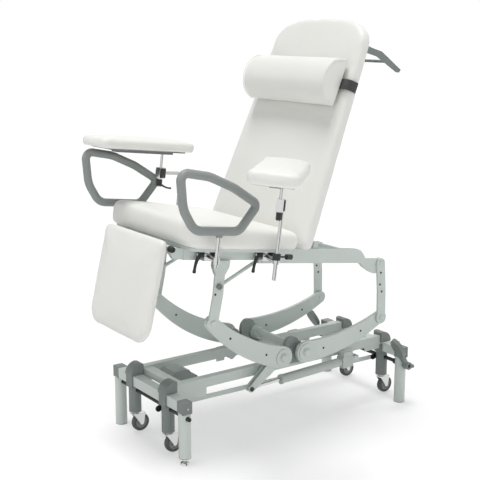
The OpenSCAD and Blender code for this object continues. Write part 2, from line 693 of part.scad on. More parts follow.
front_pin = [-front_pin_y, front_pin_z];
rear_pin = [rear_pin_y, rear_pin_z];
front_root = [-front_root_y, root_z];
rear_root = [rear_root_y, root_z];
frame_pin = [world_y(frame_pin_y, -frame_pin_drop), world_z(frame_pin_y, -frame_pin_drop)];
// Bend points of the arms, off the middle of the line between their pivots
front_mid = (front_root + front_pin) * 0.5 + side_of(front_pin - front_root) * 58 * mm;
rear_mid = (rear_root + rear_pin) * 0.5 - side_of(rear_pin - rear_root) * 50 * mm;

module arm_screw_holes(a, c, b) {
  for (t = [0.22, 0.72]) rod_x(arm_x + arm_t - 2 * mm, arm_x + arm_t + 2 * mm,
    bow(a, c, b, t)[0], bow(a, c, b, t)[1], 3.2 * mm);
}

module lift_arm(root, mid, pin) {
  difference() {
    union() {
      along_x(arm_x, arm_t) bowed_arm(root, mid, pin, arm_root_r, arm_tip_r, 2 * mm);
      rod_x(arm_x + arm_t - mm, arm_x + arm_t + 4 * mm, root[0], root[1], arm_root_r - 9 * mm);
    }
    rod_x(arm_x - mm, arm_x + arm_t + mm, pin[0], pin[1], link_pin_r + run_fit);
    rod_x(arm_x - mm, arm_x + arm_t - 4 * mm, root[0], root[1], root_r + 0.1 * mm);
    arm_screw_holes(root, mid, pin);
  }
}

module front_arms() color(frame_grey) both_sides() lift_arm(front_root, front_mid, front_pin);
module rear_arms() color(frame_grey) both_sides() lift_arm(rear_root, rear_mid, rear_pin);

module lever_shape(root, tip) {
  d = tip - root;
  translate(root) circle(r = root_r + 8 * mm, $fn = 64);
  translate(tip) circle(r = 14 * mm, $fn = 48);
  polygon([root + side_of(d) * (root_r + 8 * mm), root - side_of(d) * (root_r + 8 * mm),
    tip - side_of(d) * 14 * mm, tip + side_of(d) * 14 * mm]);
}

module front_shaft() color(frame_grey) {
  tip = [-front_lever_y, front_lever_z];
  rod_x(-arm_x - arm_t + 4.2 * mm, arm_x + arm_t - 4.2 * mm, front_root[0], front_root[1], root_r);
  for (k = [-1, 1]) along_x(actuator_x + k * (eye_half + 2.2 * mm + free_gap) - 2.2 * mm, 4.4 * mm)
    lever_shape(front_root, tip);
}

module rear_shaft() color(frame_grey) {
  tip = [-rear_lever_y, rear_lever_z];
  rod_x(-arm_x - arm_t + 4.2 * mm, arm_x + arm_t - 4.2 * mm, rear_root[0], rear_root[1], root_r);
  for (k = [-1, 1]) along_x(k * (eye_half + 2.2 * mm + free_gap) - actuator_x - 2.2 * mm, 4.4 * mm)
    lever_shape(rear_root, tip);
  both_sides() {
    rod_x(pedestal_x - 14 * mm, pedestal_x - free_gap, rear_root[0], rear_root[1], root_r + 12 * mm);
    rod_x(pedestal_x - 44 * mm, pedestal_x - 14 * mm, rear_root[0], rear_root[1], root_r + 6 * mm);
  }
}

module rear_links() color(frame_grey) both_sides() {
  mid = (rear_pin + frame_pin) * 0.5 + [3 * mm, 0];
  along_x(link_x, link_t) union() {
    link_bar(rear_pin, mid, link_w);
    link_bar(mid, frame_pin, link_w);
    translate(rear_pin) circle(r = arm_tip_r, $fn = 64);
  }
  rod_x(arm_x - 3 * mm, link_x + mm, rear_pin[0], rear_pin[1], link_pin_r);
  rod_x(link_x + link_t - mm, link_x + link_t + 4 * mm, rear_pin[0], rear_pin[1], link_pin_r + mm);
  rod_x(link_x + link_t - mm, link_x + link_t + 4 * mm, frame_pin[0], frame_pin[1], link_pin_r + mm);
}

// Actuators lie along x in their own frame, from the clevis to the lever pin
module actuator_place(x, c, p) {
  translate([x, c[0], c[1]]) rotate([atan2(p[1] - c[1], p[0] - c[0]), 0, 0]) children();
}

module actuator_case(l, motor_up, tube_l) {
  difference() {
    union() {
      rod_x(-eye_half, eye_half, 0, 0, 11 * mm);
      translate([-eye_half, 6 * mm, -9 * mm]) cube([2 * eye_half, 16 * mm, 18 * mm]);
      translate([-17 * mm, 18 * mm, -24 * mm]) cube([actuator_dia + 3 * mm, 56 * mm, 48 * mm]);
      translate([-12 * mm, 18 * mm, motor_up > 0 ? 20 * mm : -44 * mm]) cube([actuator_dia - 3 * mm, 50 * mm, 24 * mm]);
      translate([0, 70 * mm, 0]) rotate([-90, 0, 0]) cylinder(d = actuator_dia, h = tube_l, $fn = 48);
      translate([0, 70 * mm + tube_l - 8 * mm, 0]) rotate([-90, 0, 0])
        cylinder(d = actuator_dia + 3 * mm, h = 10 * mm, $fn = 48);
    }
    rod_x(-eye_half - mm, eye_half + mm, 0, 0, clevis_r + run_fit);
    translate([0, 78 * mm, 0]) rotate([-90, 0, 0]) cylinder(r = rod_r + run_fit, h = l, $fn = 40);
  }
}

module actuator_rod(l, start) {
  translate([0, start, 0]) rotate([-90, 0, 0]) cylinder(r = rod_r, h = l - start - 4 * mm, $fn = 40);
  rod_x(-eye_half, eye_half, l, 0, 10 * mm);
}

front_clevis = [front_clevis_y, front_clevis_z];
front_lever = [-front_lever_y, front_lever_z];
rear_clevis = [rear_clevis_y, rear_clevis_z];
rear_lever = [-rear_lever_y, rear_lever_z];
front_act_l = norm(front_lever - front_clevis);
rear_act_l = norm(rear_lever - rear_clevis);

module front_actuator_case() color(plastic_grey)
  actuator_place(actuator_x, front_clevis, front_lever) actuator_case(front_act_l, -1, front_act_l * 0.59);
module front_actuator_rod() color(bright)
  actuator_place(actuator_x, front_clevis, front_lever) actuator_rod(front_act_l, front_act_l * 0.36);
module rear_actuator_case() color(plastic_grey)
  actuator_place(-actuator_x, rear_clevis, rear_lever) actuator_case(rear_act_l, -1, rear_act_l * 0.5);
module rear_actuator_rod() color(bright)
  actuator_place(-actuator_x, rear_clevis, rear_lever) actuator_rod(rear_act_l, rear_act_l * 0.45);

// Top frame

module top_rails() color(frame_grey) in_frame() {
  x0 = frame_x - frame_rail_w;
  both_sides() {
    translate([x0, -frame_front, -front_rail_h]) cube([frame_rail_w, frame_front - rail_step, front_rail_h]);
    translate([x0, -rail_step - mm, -rear_rail_h])
      cube([frame_rail_w - 3 * mm, frame_rear + rail_step + mm, rear_rail_h]);
    translate([x0 + 4 * mm, -rail_step - 2 * mm, -front_rail_h])
      cube([frame_rail_w - 4 * mm, rail_step - 50 * mm, front_rail_h]);
  }
  for (y = [-frame_front * 0.94, -frame_front * 0.42, frame_rear * 0.82])
    translate([-x0 - mm, y, -front_rail_h + 4 * mm]) cube([2 * x0 + 2 * mm, 30 * mm, front_rail_h - 10 * mm]);
}

// The front legs stand on the arm pins and carry a brace each
leg_foot = [local_y(-front_pin_y, front_pin_z), local_z(-front_pin_y, front_pin_z)];
leg_knee = leg_foot + [9 * mm, 112 * mm];
leg_head = leg_foot + [6 * mm, 216 * mm];

module front_legs() color(frame_grey) in_frame() both_sides() {
  along_x(link_x, link_t) union() {
    link_bar(leg_foot, leg_knee, link_w);
    link_bar(leg_knee, leg_head, link_w);
    translate(leg_foot) circle(r = arm_tip_r, $fn = 64);
  }
  rod_x(arm_x - 3 * mm, link_x + mm, leg_foot[0], leg_foot[1], link_pin_r);
  rod_x(link_x + link_t - mm, link_x + link_t + 4 * mm, leg_foot[0], leg_foot[1], link_pin_r + mm);
  brace_low = leg_knee + [5 * mm, 28 * mm];
  rod_x(link_x + link_t - mm, link_x + link_t + 9 * mm, brace_low[0], brace_low[1], 10 * mm);
  rod_between([link_x - 7 * mm, brace_low[0], brace_low[1]],
    [frame_x - 14 * mm, -rail_step - 8 * mm, -rear_rail_h + 4 * mm], 7 * mm);
  rod_x(link_x - 16 * mm, link_x + mm, brace_low[0], brace_low[1], 9 * mm);
}

module frame_brackets() color(frame_grey) in_frame() both_sides() {
  // Forked brackets that take the heads of the front legs
  for (k = [0, 1]) along_x(link_x - 5.4 * mm + k * (link_t + 5.8 * mm), 5 * mm) polygon([
    leg_head + [-38 * mm, 6 * mm], [leg_head[0] - 38 * mm, -front_rail_h - mm],
    [leg_head[0] + 38 * mm, -front_rail_h - mm], leg_head + [36 * mm, 4 * mm],
    leg_head + [20 * mm, -26 * mm], leg_head + [-22 * mm, -26 * mm]]);
  translate([frame_x - frame_rail_w, leg_head[0] - 38 * mm, -front_rail_h - 5 * mm])
    cube([link_x + link_t + 5.4 * mm - frame_x + frame_rail_w, 76 * mm, 5 * mm]);
  // Rear end caps with the lugs for the links
  pin = [frame_pin_y, -frame_pin_drop];
  along_x(frame_x - frame_rail_w, frame_rail_w - 3.8 * mm) polygon([[frame_rear, 0],
    [frame_rear + 26 * mm, -mm], [frame_rear + 44 * mm, -6 * mm], [frame_rear + 62 * mm, -22 * mm],
    [frame_rear + 78 * mm, -42 * mm], pin + [-6 * mm, 19 * mm], pin + [6 * mm, 22 * mm],
    pin + [18 * mm, 10 * mm], pin + [20 * mm, -6 * mm], pin + [10 * mm, -20 * mm],
    pin + [-8 * mm, -40 * mm], pin + [-26 * mm, -46 * mm], pin + [-50 * mm, -38 * mm],
    [frame_rear + 72 * mm, -78 * mm], [frame_rear + 50 * mm, -rear_rail_h], [frame_rear, -rear_rail_h]]);
  // Front hinge plates of the legrest
  along_x(frame_x - frame_rail_w + 2 * mm, frame_rail_w - 4 * mm) difference() {
    union() {
      translate([legrest_y, legrest_z]) circle(r = legrest_eye_r, $fn = 48);
      polygon([[legrest_y, legrest_z + legrest_eye_r], [legrest_y, legrest_z - legrest_eye_r],
        [legrest_y + 22 * mm, -front_rail_h + 2 * mm], [-frame_front, -front_rail_h + 2 * mm], [-frame_front, -2 * mm],
        [legrest_y + 22 * mm, -2 * mm]]);
    }
    translate([legrest_y, legrest_z]) circle(r = 8 * mm + run_fit, $fn = 48);
  }
  // Lugs of the backrest hinge
  translate([frame_x - frame_rail_w, back_hinge_y - 18 * mm, 0]) difference() {
    cube([frame_rail_w - 8 * mm, 36 * mm, back_hinge_z + 13 * mm]);
    translate([-mm, 18 * mm, back_hinge_z]) rotate([0, 90, 0])
      cylinder(r = 8 * mm + run_fit, h = frame_rail_w, $fn = 48);
  }
  translate([frame_x - frame_rail_w + 4 * mm, 0, 0]) along_x(0, 12 * mm) union() {
    translate([104 * mm, 14 * mm]) circle(r = 12 * mm, $fn = 40);
    translate([92 * mm, 0]) square([24 * mm, 14 * mm]);
  }
}

module seat_board() color(plastic_grey) in_frame()
  translate([0, 0, 0.2 * mm]) linear_extrude(seat_board_t - 0.2 * mm)
    polygon(box_outline(-seat_half_w + 22 * mm, seat_half_w - 22 * mm, -seat_front + 16 * mm,
      -seat_rear - 12 * mm, 40 * mm, 20 * mm));

module seat_cushion() color(white_cover) in_frame()
  soft_form(box_outline(-seat_half_w, seat_half_w, -seat_front, -seat_rear, seat_corner_r, seat_corner_r * 0.5),
    [0, -(seat_front + seat_rear) / 2], [seat_half_w, (seat_front - seat_rear) / 2],
    padded_rings(seat_rear_h, 30 * mm, 5 * mm), seat_board_t + soft_gap, (seat_rear_h + seat_front_h) / 2,
    (seat_rear_h - seat_front_h) / (seat_front - seat_rear));

module rail_clamp(post_y, post_bore) {
  y = post_y + clamp_back;
  difference() {
    union() {
      translate([frame_x, y - 16 * mm, -front_rail_h + mm]) cube([28 * mm, 32 * mm, front_rail_h - 2 * mm]);
      rod_between([frame_x + 20 * mm, y, -22 * mm], [loop_x, post_y, -22 * mm], 8 * mm);
      translate([loop_x, post_y, -34 * mm]) cylinder(r = post_bore + 4 * mm, h = 24 * mm, $fn = 48);
    }
    translate([loop_x, post_y, -60 * mm]) cylinder(r = post_bore, h = 80 * mm, $fn = 40);
    translate([frame_x + 14 * mm, y - 18 * mm, -22 * mm]) rotate([-90, 0, 0])
      cylinder(r = 4 * mm + run_fit, h = 14 * mm, $fn = 32);
  }
  // Grip knob on the far side of the clamp from its lever
  translate([frame_x + 14 * mm, y + 15.5 * mm, -24 * mm]) rotate([-90, 0, 0]) cylinder(r = 9 * mm, h = 20 * mm, $fn = 40);
}

module rail_clamps() color(bright) in_frame() both_sides() {
  rail_clamp(-arm_post_y, post_dia / 2 + run_fit);
  rail_clamp(-pad_post_y, post_dia / 2 + run_fit);
}

module clamp_lever(s, y) color(black) in_frame()
  translate([s * (frame_x + 14 * mm), y + clamp_back - 16 * mm - free_gap, -22 * mm]) {
  rotate([90, 0, 0]) cylinder(r = 9 * mm, h = 16 * mm, $fn = 40);
  translate([0, 12 * mm, 0]) rotate([90, 0, 0]) cylinder(r = 4 * mm, h = 14 * mm, $fn = 32);
  hull() {
    translate([0, -10 * mm, 0]) sphere(r = 6 * mm, $fn = 20);
    translate([0, -24 * mm, -lever_l * 0.45]) sphere(r = 4.5 * mm, $fn = 20);
  }
  hull() {
    translate([0, -24 * mm, -lever_l * 0.45]) sphere(r = 4.5 * mm, $fn = 20);
    translate([0, -28 * mm, -lever_l]) sphere(r = 6 * mm, $fn = 20);
  }
}

// Backrest

module back_outline_panel(in) {
  polygon([[-back_half_low + in, -back_low + in], [back_half_low - in, -back_low + in],
    [back_half_high - in, back_high * 0.88], [back_half_high * 0.6, back_high - in],
    [-back_half_high * 0.6, back_high - in], [-back_half_high + in, back_high * 0.88]]);
}

function back_outline() = let (slope = (back_half_low - back_half_high) / (back_high * 0.86),
  top = back_half_high + slope * 60 * mm) concat(
    arc_pts([-back_half_low + 26 * mm, -back_low + 26 * mm], 26 * mm, 180, 270, 5),
    arc_pts([back_half_low - 26 * mm, -back_low + 26 * mm], 26 * mm, 270, 360, 5),
    [[back_half_low - slope * back_high * 0.3, back_high * 0.3],
      [back_half_low - slope * back_high * 0.6, back_high * 0.6],
      [back_half_low - slope * back_high * 0.76, back_high * 0.76]],
    [for (i = [0:14]) let (a = i * 12.857) [back_half_high * pow(abs(cos(a)), 0.62) * (a > 90 ? -1 : 1),
      back_high * 0.86 + back_high * 0.14 * pow(sin(a), 0.8)]],
    [[-back_half_low + slope * back_high * 0.76, back_high * 0.76],
      [-back_half_low + slope * back_high * 0.6, back_high * 0.6],
      [-back_half_low + slope * back_high * 0.3, back_high * 0.3]]);

module back_cushion() color(white_cover) in_back()
  translate([0, back_t - back_face, 0]) rotate([90, 0, 0])
    soft_form(back_outline(), [0, back_high * 0.47], [back_half_low, back_high * 0.5],
      padded_rings(back_t, 24 * mm, back_crown), 0, back_t, 0);

module back_frame() color(frame_grey) in_back() {
  y0 = back_t - back_face + soft_gap;
  y1 = y0 + back_panel_t;
  translate([0, y1, 0]) rotate([90, 0, 0]) linear_extrude(back_panel_t) back_outline_panel(20 * mm);
  both_sides() {
    difference() {
      translate([frame_x - 72 * mm, y1, 20 * mm]) cube([30 * mm, 25 * mm, back_high * 0.8]);
      translate([frame_x - 73 * mm, y1 - mm, roll_at - strap_w / 2 - 2 * mm])
        cube([32 * mm, mm + 2 * soft_gap + strap_t, strap_w + 4 * mm]);
    }
    translate([frame_x - 42.5 * mm, y1, 30 * mm]) cube([14 * mm, 25 * mm, 40 * mm]);
  }
  for (z = [0.1, 0.5, 0.8]) translate([-frame_x + 43 * mm, y1, back_high * z])
    cube([2 * frame_x - 86 * mm, 20 * mm, 30 * mm]);
  both_sides() {
    along_x(frame_x - frame_rail_w - 10.5 * mm, 10 * mm) union() {
      circle(r = 14 * mm, $fn = 48);
      polygon([[-14 * mm, 0], [14 * mm, 0], [14 * mm, 60 * mm], [-20 * mm, 70 * mm]]);
    }
    rod_x(frame_x - frame_rail_w - mm, frame_x - 8.5 * mm, 0, 0, 8 * mm);
  }
}

// The strap lies over the crown of the cushion and passes behind the panel
back_crown = 3 * mm;
strap_t = 1.5 * mm;
strap_front = back_face + back_crown + 2 * soft_gap;
strap_rear = back_t - back_face + back_panel_t + 2 * soft_gap;

module head_roll() color(white_cover) in_back() {
  n = 22;
  y1 = -strap_front - strap_t - soft_gap;
  outline = concat([for (i = [0:n]) let (a = 180 * i / n) [y1 - roll_d * pow(sin(a), 0.85), roll_at - roll_h / 2 * cos(a)]]);
  m = len(outline);
  ends = [[roll_half_l, 0.78], [roll_half_l - 2 * mm, 0.93], [roll_half_l - 7 * mm, 1]];
  xs = concat([for (e = ends) [-e[0], e[1]]], [for (i = [2:-1:0]) ends[i]]);
  pts = [for (x = xs) each [for (q = outline) [x[0], y1 + (q[0] - y1) * x[1], roll_at + (q[1] - roll_at) * x[1]]]];
  polyhedron(points = pts, faces = concat(
    [for (i = [0:4], j = [0:m - 1]) [i * m + j, (i + 1) * m + (j + 1) % m, (i + 1) * m + j]],
    [for (i = [0:4], j = [0:m - 1]) [i * m + j, i * m + (j + 1) % m, (i + 1) * m + (j + 1) % m]],
    [for (j = [1:m - 2]) [0, j + 1, j]],
    [for (j = [1:m - 2]) [5 * m, 5 * m + j, 5 * m + j + 1]]), convexity = 4);
}

strap_bend = 24 * mm;
strap_rear_bend = 8 * mm;

module band_half(w, y0, y1, r) {
  translate([0, (y0 + y1) / 2]) offset(r = r) square([2 * (w - r), y1 - y0 - 2 * r], center = true);
}

// The band bends widely over the soft front and tightly round the edge of the pan
module band_shape(w, y0, y1, grow) {
  intersection() {
    band_half(w, y0, y1 + strap_bend, strap_bend + grow);
    band_half(w, y0 - strap_bend, y1, strap_rear_bend + grow);
  }
}

module head_roll_strap() color("#3a3b3d") in_back() {
  w = back_half_low - (back_half_low - back_half_high) * (roll_at - strap_w / 2) / (back_high * 0.86) + 2 * mm;
  translate([0, 0, roll_at - strap_w / 2]) linear_extrude(strap_w) difference() {
    band_shape(w + strap_t, -strap_front - strap_t, strap_rear + strap_t, 0);
    band_shape(w, -strap_front, strap_rear, -strap_t);
  }
}

module push_handle() color(plastic_grey) in_back() {
  y0 = back_t - back_face + soft_gap + back_panel_t;
  z0 = back_high * 0.885;
  l = handle_reach - y0;
  both_sides() translate([0, 0, z0]) along_x(handle_x, 5 * mm) polygon([[y0, -20 * mm],
    [y0 + l * 0.315, -12 * mm], [handle_reach - 12 * mm, -30 * mm], [handle_reach + 2 * mm, -26 * mm],
    [handle_reach + 6 * mm, -12 * mm], [y0 + l * 0.388, 16 * mm], [y0 + l * 0.157, 10 * mm], [y0, 8 * mm]]);
  rod_x(-handle_x - mm, handle_x + mm, y0 + l * 0.619, z0 - 9 * mm, handle_dia / 2);
}

// Legrest

module legrest_frame() color(frame_grey) in_legrest() {
  rod_x(-frame_x + 4 * mm, frame_x - 4 * mm, 0, 0, 8 * mm);
  translate([-legrest_half_w + 40 * mm, soft_gap - legrest_back, -legrest_low + 40 * mm])
    cube([2 * legrest_half_w - 80 * mm, 9 * mm, legrest_low - 34 * mm]);
  translate([-frame_x + 40 * mm, -6 * mm, -20 * mm]) cube([2 * frame_x - 80 * mm, 12 * mm, 22 * mm]);
}

function legrest_outline() = let (r = legrest_corner_r, w = legrest_half_w, q = 24 * mm) concat(
  arc_pts([-w + r, -legrest_low + r], r, 180, 270, 9), arc_pts([w - r, -legrest_low + r], r, 270, 360, 9),
  arc_pts([w - q, legrest_high - q], q, 0, 90, 5), arc_pts([-w + q, legrest_high - q], q, 90, 180, 5));

module legrest_cushion() color(white_cover) in_legrest()
  translate([0, -legrest_back, 0]) rotate([90, 0, 0])
    soft_form(legrest_outline(), [0, (legrest_high - legrest_low) / 2],
      [legrest_half_w, (legrest_high + legrest_low) / 2], padded_rings(legrest_t, 20 * mm, 4 * mm), 0, legrest_t, 0);

module hinge_knobs() color(black) in_legrest() both_sides() {
  rod_x(frame_x + free_gap, frame_x + 12 * mm, 0, 0, 12 * mm);
  rod_x(frame_x + 12 * mm, frame_x + 24 * mm, 0, 0, 10 * mm);
  rod_x(frame_x - 4 * mm, frame_x + mm, 0, 0, 7 * mm);
}

// Armrests

// Corners of the loop as shares of its length and height, from its post and its lower run
loop_shape = [[-193 / 350, 1], [-69 / 350, 195 / 204], [41 / 350, 160 / 204], [157 / 350, 104 / 204],
  [85 / 350, 2 / 204], [-109 / 350, 0], [-165 / 350, 74 / 204]];
loop_pts = [for (q = loop_shape) [q[0] * loop_l - arm_post_y, q[1] * loop_h + loop_low]];
loop_radii = [26, 160, 200, 22, 44, 60, 120] * loop_h / 204;

module armrest_loop(s) color(plastic_grey) in_frame() translate([s * loop_x, 0, 0])
  rotate([90, 0, 90]) difference() {
    bent_loop(loop_pts, loop_radii, loop_dia / 2);
    translate([-arm_post_y, 60 * mm, 0]) rotate([-90, 0, 0]) cylinder(d = post_dia, h = 27 * mm, $fn = 40);
  }

module armrest_post(s) color(bright) in_frame()
  translate([s * loop_x, -arm_post_y, -45 * mm]) cylinder(d = post_dia, h = 132 * mm, $fn = 40);

// Sampling arms

post_bend = 26 * mm;
post_low = 96 * mm;
head_stop = 4 * mm;

module pad_post(s, turn, top, droop) color(bright) in_frame() translate([s * loop_x, -pad_post_y, 0]) {
  translate([0, 0, -post_low]) cylinder(d = post_dia, h = post_low + top - post_bend + overrun, $fn = 40);
  rotate([0, 0, s * turn]) translate([0, -post_bend, top - post_bend]) {
    rotate([0, -90, 0]) rotate_extrude(angle = 90 + droop, $fn = 72)
      translate([post_bend, 0]) circle(r = post_dia / 2 + bend_ease, $fn = 32);
    rotate([droop, 0, 0]) translate([0, post_bend - pad_reach + head_stop, post_bend]) rotate([-90, 0, 0])
      cylinder(d = post_dia, h = pad_reach - head_stop - post_bend + overrun, $fn = 32);
  }
}

module at_head(s, turn, top, droop) in_frame() translate([s * loop_x, -pad_post_y, 0])
  rotate([0, 0, s * turn]) translate([0, -post_bend, top - post_bend]) rotate([droop, 0, 0])
  translate([0, post_bend - pad_reach, post_bend]) children();

module pad_head(s, turn, top, droop, rise) color(bright) at_head(s, turn, top, droop) {
  difference() {
    translate([-14 * mm, -16 * mm, -23 * mm]) cube([28 * mm, 32 * mm, 46 * mm]);
    translate([0, head_stop, 0]) rotate([-90, 0, 0]) cylinder(d = post_dia, h = 40 * mm, $fn = 40);
  }
  translate([0, 0, -30 * mm]) cylinder(r = 5 * mm, h = 8 * mm, $fn = 32);
  translate([0, 0, -58 * mm]) cylinder(r = 9 * mm, h = 29 * mm, $fn = 40);
  translate([0, 0, 22 * mm]) cylinder(r = stub_r, h = rise - 28 * mm, $fn = 40);
}

stub_r = 6 * mm;
pad_front_share = 0.76;
pad_mid_y = pad_l * (0.5 - pad_front_share);
function pad_outline() = box_outline(-pad_w / 2, pad_w / 2, pad_mid_y - pad_l / 2, pad_mid_y + pad_l / 2,
  34 * mm, 34 * mm);

module at_tray(s, turn, top, droop, pad_turn) at_head(s, turn, top, droop)
  rotate([0, 0, s * (pad_turn - turn)]) children();

module pad_tray(s, turn, top, droop, rise, pad_turn) color(plastic_grey)
  at_tray(s, turn, top, droop, pad_turn) difference() {
  union() {
    translate([0, pad_mid_y, rise - 2.5 * mm]) cube([pad_w * 0.8, pad_l * 0.8, 5 * mm], center = true);
    translate([-20 * mm, pad_mid_y - pad_l * 0.262, rise - 17 * mm]) cube([40 * mm, pad_l * 0.611, 13 * mm]);
  }
  translate([0, 0, rise - 18 * mm]) cylinder(r = stub_r + run_fit, h = 12.4 * mm, $fn = 40);
}

module sampling_pad(s, turn, top, droop, rise, pad_turn) color(white_cover) at_tray(s, turn, top, droop, pad_turn)
  translate([0, 0, rise + soft_gap]) soft_form(pad_outline(), [0, pad_mid_y], [pad_w / 2, pad_l / 2],
    padded_rings(pad_t, 18 * mm, 3 * mm), 0, pad_t, 0);

module clamp_lever_4() clamp_lever(-1, -pad_post_y);
module clamp_lever_3() clamp_lever(-1, -arm_post_y);
module clamp_lever_2() clamp_lever(1, -pad_post_y);
module clamp_lever_1() clamp_lever(1, -arm_post_y);
module sampling_pad_right() sampling_pad(-1, right_post_turn, right_post_top, right_droop, right_pad_rise, right_pad_turn);
module sampling_pad_left() sampling_pad(1, left_post_turn, left_post_top, left_droop, left_pad_rise, left_pad_turn);
module pad_tray_right() pad_tray(-1, right_post_turn, right_post_top, right_droop, right_pad_rise, right_pad_turn);
module pad_tray_left() pad_tray(1, left_post_turn, left_post_top, left_droop, left_pad_rise, left_pad_turn);
module pad_head_right() pad_head(-1, right_post_turn, right_post_top, right_droop, right_pad_rise);
module pad_head_left() pad_head(1, left_post_turn, left_post_top, left_droop, left_pad_rise);
module pad_post_right() pad_post(-1, right_post_turn, right_post_top, right_droop);
module pad_post_left() pad_post(1, left_post_turn, left_post_top, left_droop);
module armrest_post_right() armrest_post(-1);
module armrest_post_left() armrest_post(1);
module armrest_loop_right() armrest_loop(-1);
module armrest_loop_left() armrest_loop(1);
module wheel_rear_right() wheel(-1, 1);
module wheel_rear_left() wheel(1, 1);
module wheel_front_right() wheel(-1, -1);
module wheel_front_left() wheel(1, -1);
module fork_rear_right() fork(-1, 1);
module fork_rear_left() fork(1, 1);
module fork_front_right() fork(-1, -1);
module fork_front_left() fork(1, -1);
// Drawing
base_frame();
leg_tubes();
corner_connectors();
caster_housings();
control_box();
base_brackets();
bearing_pedestals();
levelling_foot();
front_caster_shaft();
rear_caster_shaft();
foot_pedals();
caster_push_bar();
caster_stems();
fork_front_left();
fork_front_right();
fork_rear_left();
fork_rear_right();
wheel_front_left();
wheel_front_right();
wheel_rear_left();
wheel_rear_right();
front_arms();
front_shaft();
rear_arms();
rear_shaft();
rear_links();
front_actuator_case();
front_actuator_rod();
rear_actuator_case();
rear_actuator_rod();
top_rails();
front_legs();
frame_brackets();
seat_board();
seat_cushion();
rail_clamps();
back_frame();
back_cushion();
head_roll();
head_roll_strap();
push_handle();
legrest_frame();
legrest_cushion();
hinge_knobs();
armrest_loop_left();
armrest_loop_right();
armrest_post_left();
armrest_post_right();
pad_post_left();
pad_post_right();
pad_head_left();
pad_head_right();
pad_tray_left();
pad_tray_right();
sampling_pad_left();
sampling_pad_right();
clamp_lever_1();
clamp_lever_2();
clamp_lever_3();
clamp_lever_4();
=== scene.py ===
import json
import math

import bmesh
import bpy
from mathutils import Matrix, Vector


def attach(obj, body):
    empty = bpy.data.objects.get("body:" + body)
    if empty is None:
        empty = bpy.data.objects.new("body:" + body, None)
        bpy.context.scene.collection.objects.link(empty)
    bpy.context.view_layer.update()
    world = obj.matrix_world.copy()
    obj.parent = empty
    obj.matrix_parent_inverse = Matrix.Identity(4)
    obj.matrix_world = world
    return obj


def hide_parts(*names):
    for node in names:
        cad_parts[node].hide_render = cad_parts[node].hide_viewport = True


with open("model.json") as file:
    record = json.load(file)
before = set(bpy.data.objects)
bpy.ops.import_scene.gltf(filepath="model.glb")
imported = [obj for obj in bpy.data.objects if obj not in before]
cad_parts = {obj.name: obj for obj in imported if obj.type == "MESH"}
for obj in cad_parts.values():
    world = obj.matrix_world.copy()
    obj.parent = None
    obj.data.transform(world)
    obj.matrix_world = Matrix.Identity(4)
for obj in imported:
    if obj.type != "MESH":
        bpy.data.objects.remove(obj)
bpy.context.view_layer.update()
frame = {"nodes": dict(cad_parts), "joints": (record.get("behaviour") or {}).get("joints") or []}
nodes = frame["nodes"]

# Camera. It stands off the sitter's left knee, a little above the seat, as in the photograph.
# The lens is a long one, so the chair keeps its proportions from front to back.
camera_place = (3.2544, -2.4466, 1.6412)
camera_dip = 12.207
camera_heading = 54.547
camera_lens = 74.76
lens = bpy.data.cameras.new("camera")
lens.lens = camera_lens
lens.sensor_width = 36
lens.clip_end = 100
camera = bpy.data.objects.new("camera", lens)
camera.location = camera_place
camera.rotation_euler = (math.radians(90 - camera_dip), 0, math.radians(camera_heading))
bpy.context.collection.objects.link(camera)
scene = bpy.context.scene
scene.camera = camera
scene.view_settings.view_transform = "Standard"


# Studio. A pale floor under a white room, with a wide soft light overhead and a weak one at the
# near side. The floor and room show white to the lens, and dark flags in the room edge the metal.
floor_reach = 60
floor_glow = 0.50
room_light = 0.45
flag_turn = math.radians(8)
flag_edge, flag_fade = 0.15, 0.36
flag_dark, room_bright = 0.03, 0.95


def shader_node(tree, kind, feeds, **settings):
    """Adds one shader node, with its settings and what feeds its sockets."""
    made = tree.nodes.new("ShaderNode" + kind)
    for label, value in settings.items():
        setattr(made, label, value)
    for socket, source in feeds.items():
        if isinstance(source, bpy.types.NodeSocket):
            tree.links.new(source, made.inputs[socket])
        else:
            made.inputs[socket].default_value = source
    return made


def flagged(tree, way):
    """How bright the room is in a reflection: dark near two upright flags."""
    flag_way = (-math.sin(flag_turn), math.cos(flag_turn), 0)
    aside = shader_node(tree, "VectorMath", {0: way, 1: flag_way}, operation="DOT_PRODUCT")
    aside = shader_node(tree, "Math", {0: aside.outputs["Value"]}, operation="ABSOLUTE")
    return shader_node(tree, "MapRange", {"Value": aside.outputs[0], "From Min": flag_edge,
                                          "From Max": flag_fade, "To Min": flag_dark,
                                          "To Max": room_bright}).outputs[0]

floor_shape = bmesh.new()
bmesh.ops.create_grid(floor_shape, x_segments=1, y_segments=1, size=floor_reach)
floor_mesh = bpy.data.meshes.new("studio_floor")
floor_shape.to_mesh(floor_mesh)
floor_shape.free()
floor = bpy.data.objects.new("studio_floor", floor_mesh)
bpy.context.collection.objects.link(floor)
floor_paint = bpy.data.materials.new("studio_floor")
floor_paint.use_nodes = True
tree = floor_paint.node_tree
tree.nodes.remove(tree.nodes["Principled BSDF"])
rays = shader_node(tree, "LightPath", {}).outputs
share = shader_node(tree, "Math", {0: rays["Is Camera Ray"], 1: floor_glow}, operation="MULTIPLY")
matt = shader_node(tree, "BsdfDiffuse", {"Color": (0.9, 0.9, 0.9, 1)})
glow = shader_node(tree, "Emission", {"Color": (1, 1, 1, 1), "Strength": 1.0})
both = shader_node(tree, "MixShader", {0: share.outputs[0], 1: matt.outputs[0], 2: glow.outputs[0]})
facing = shader_node(tree, "NewGeometry", {})
mirrored = shader_node(tree, "Emission", {"Strength": flagged(tree, facing.outputs["Incoming"])})
both = shader_node(tree, "MixShader", {0: rays["Is Glossy Ray"], 1: both.outputs[0],
                                       2: mirrored.outputs[0]})
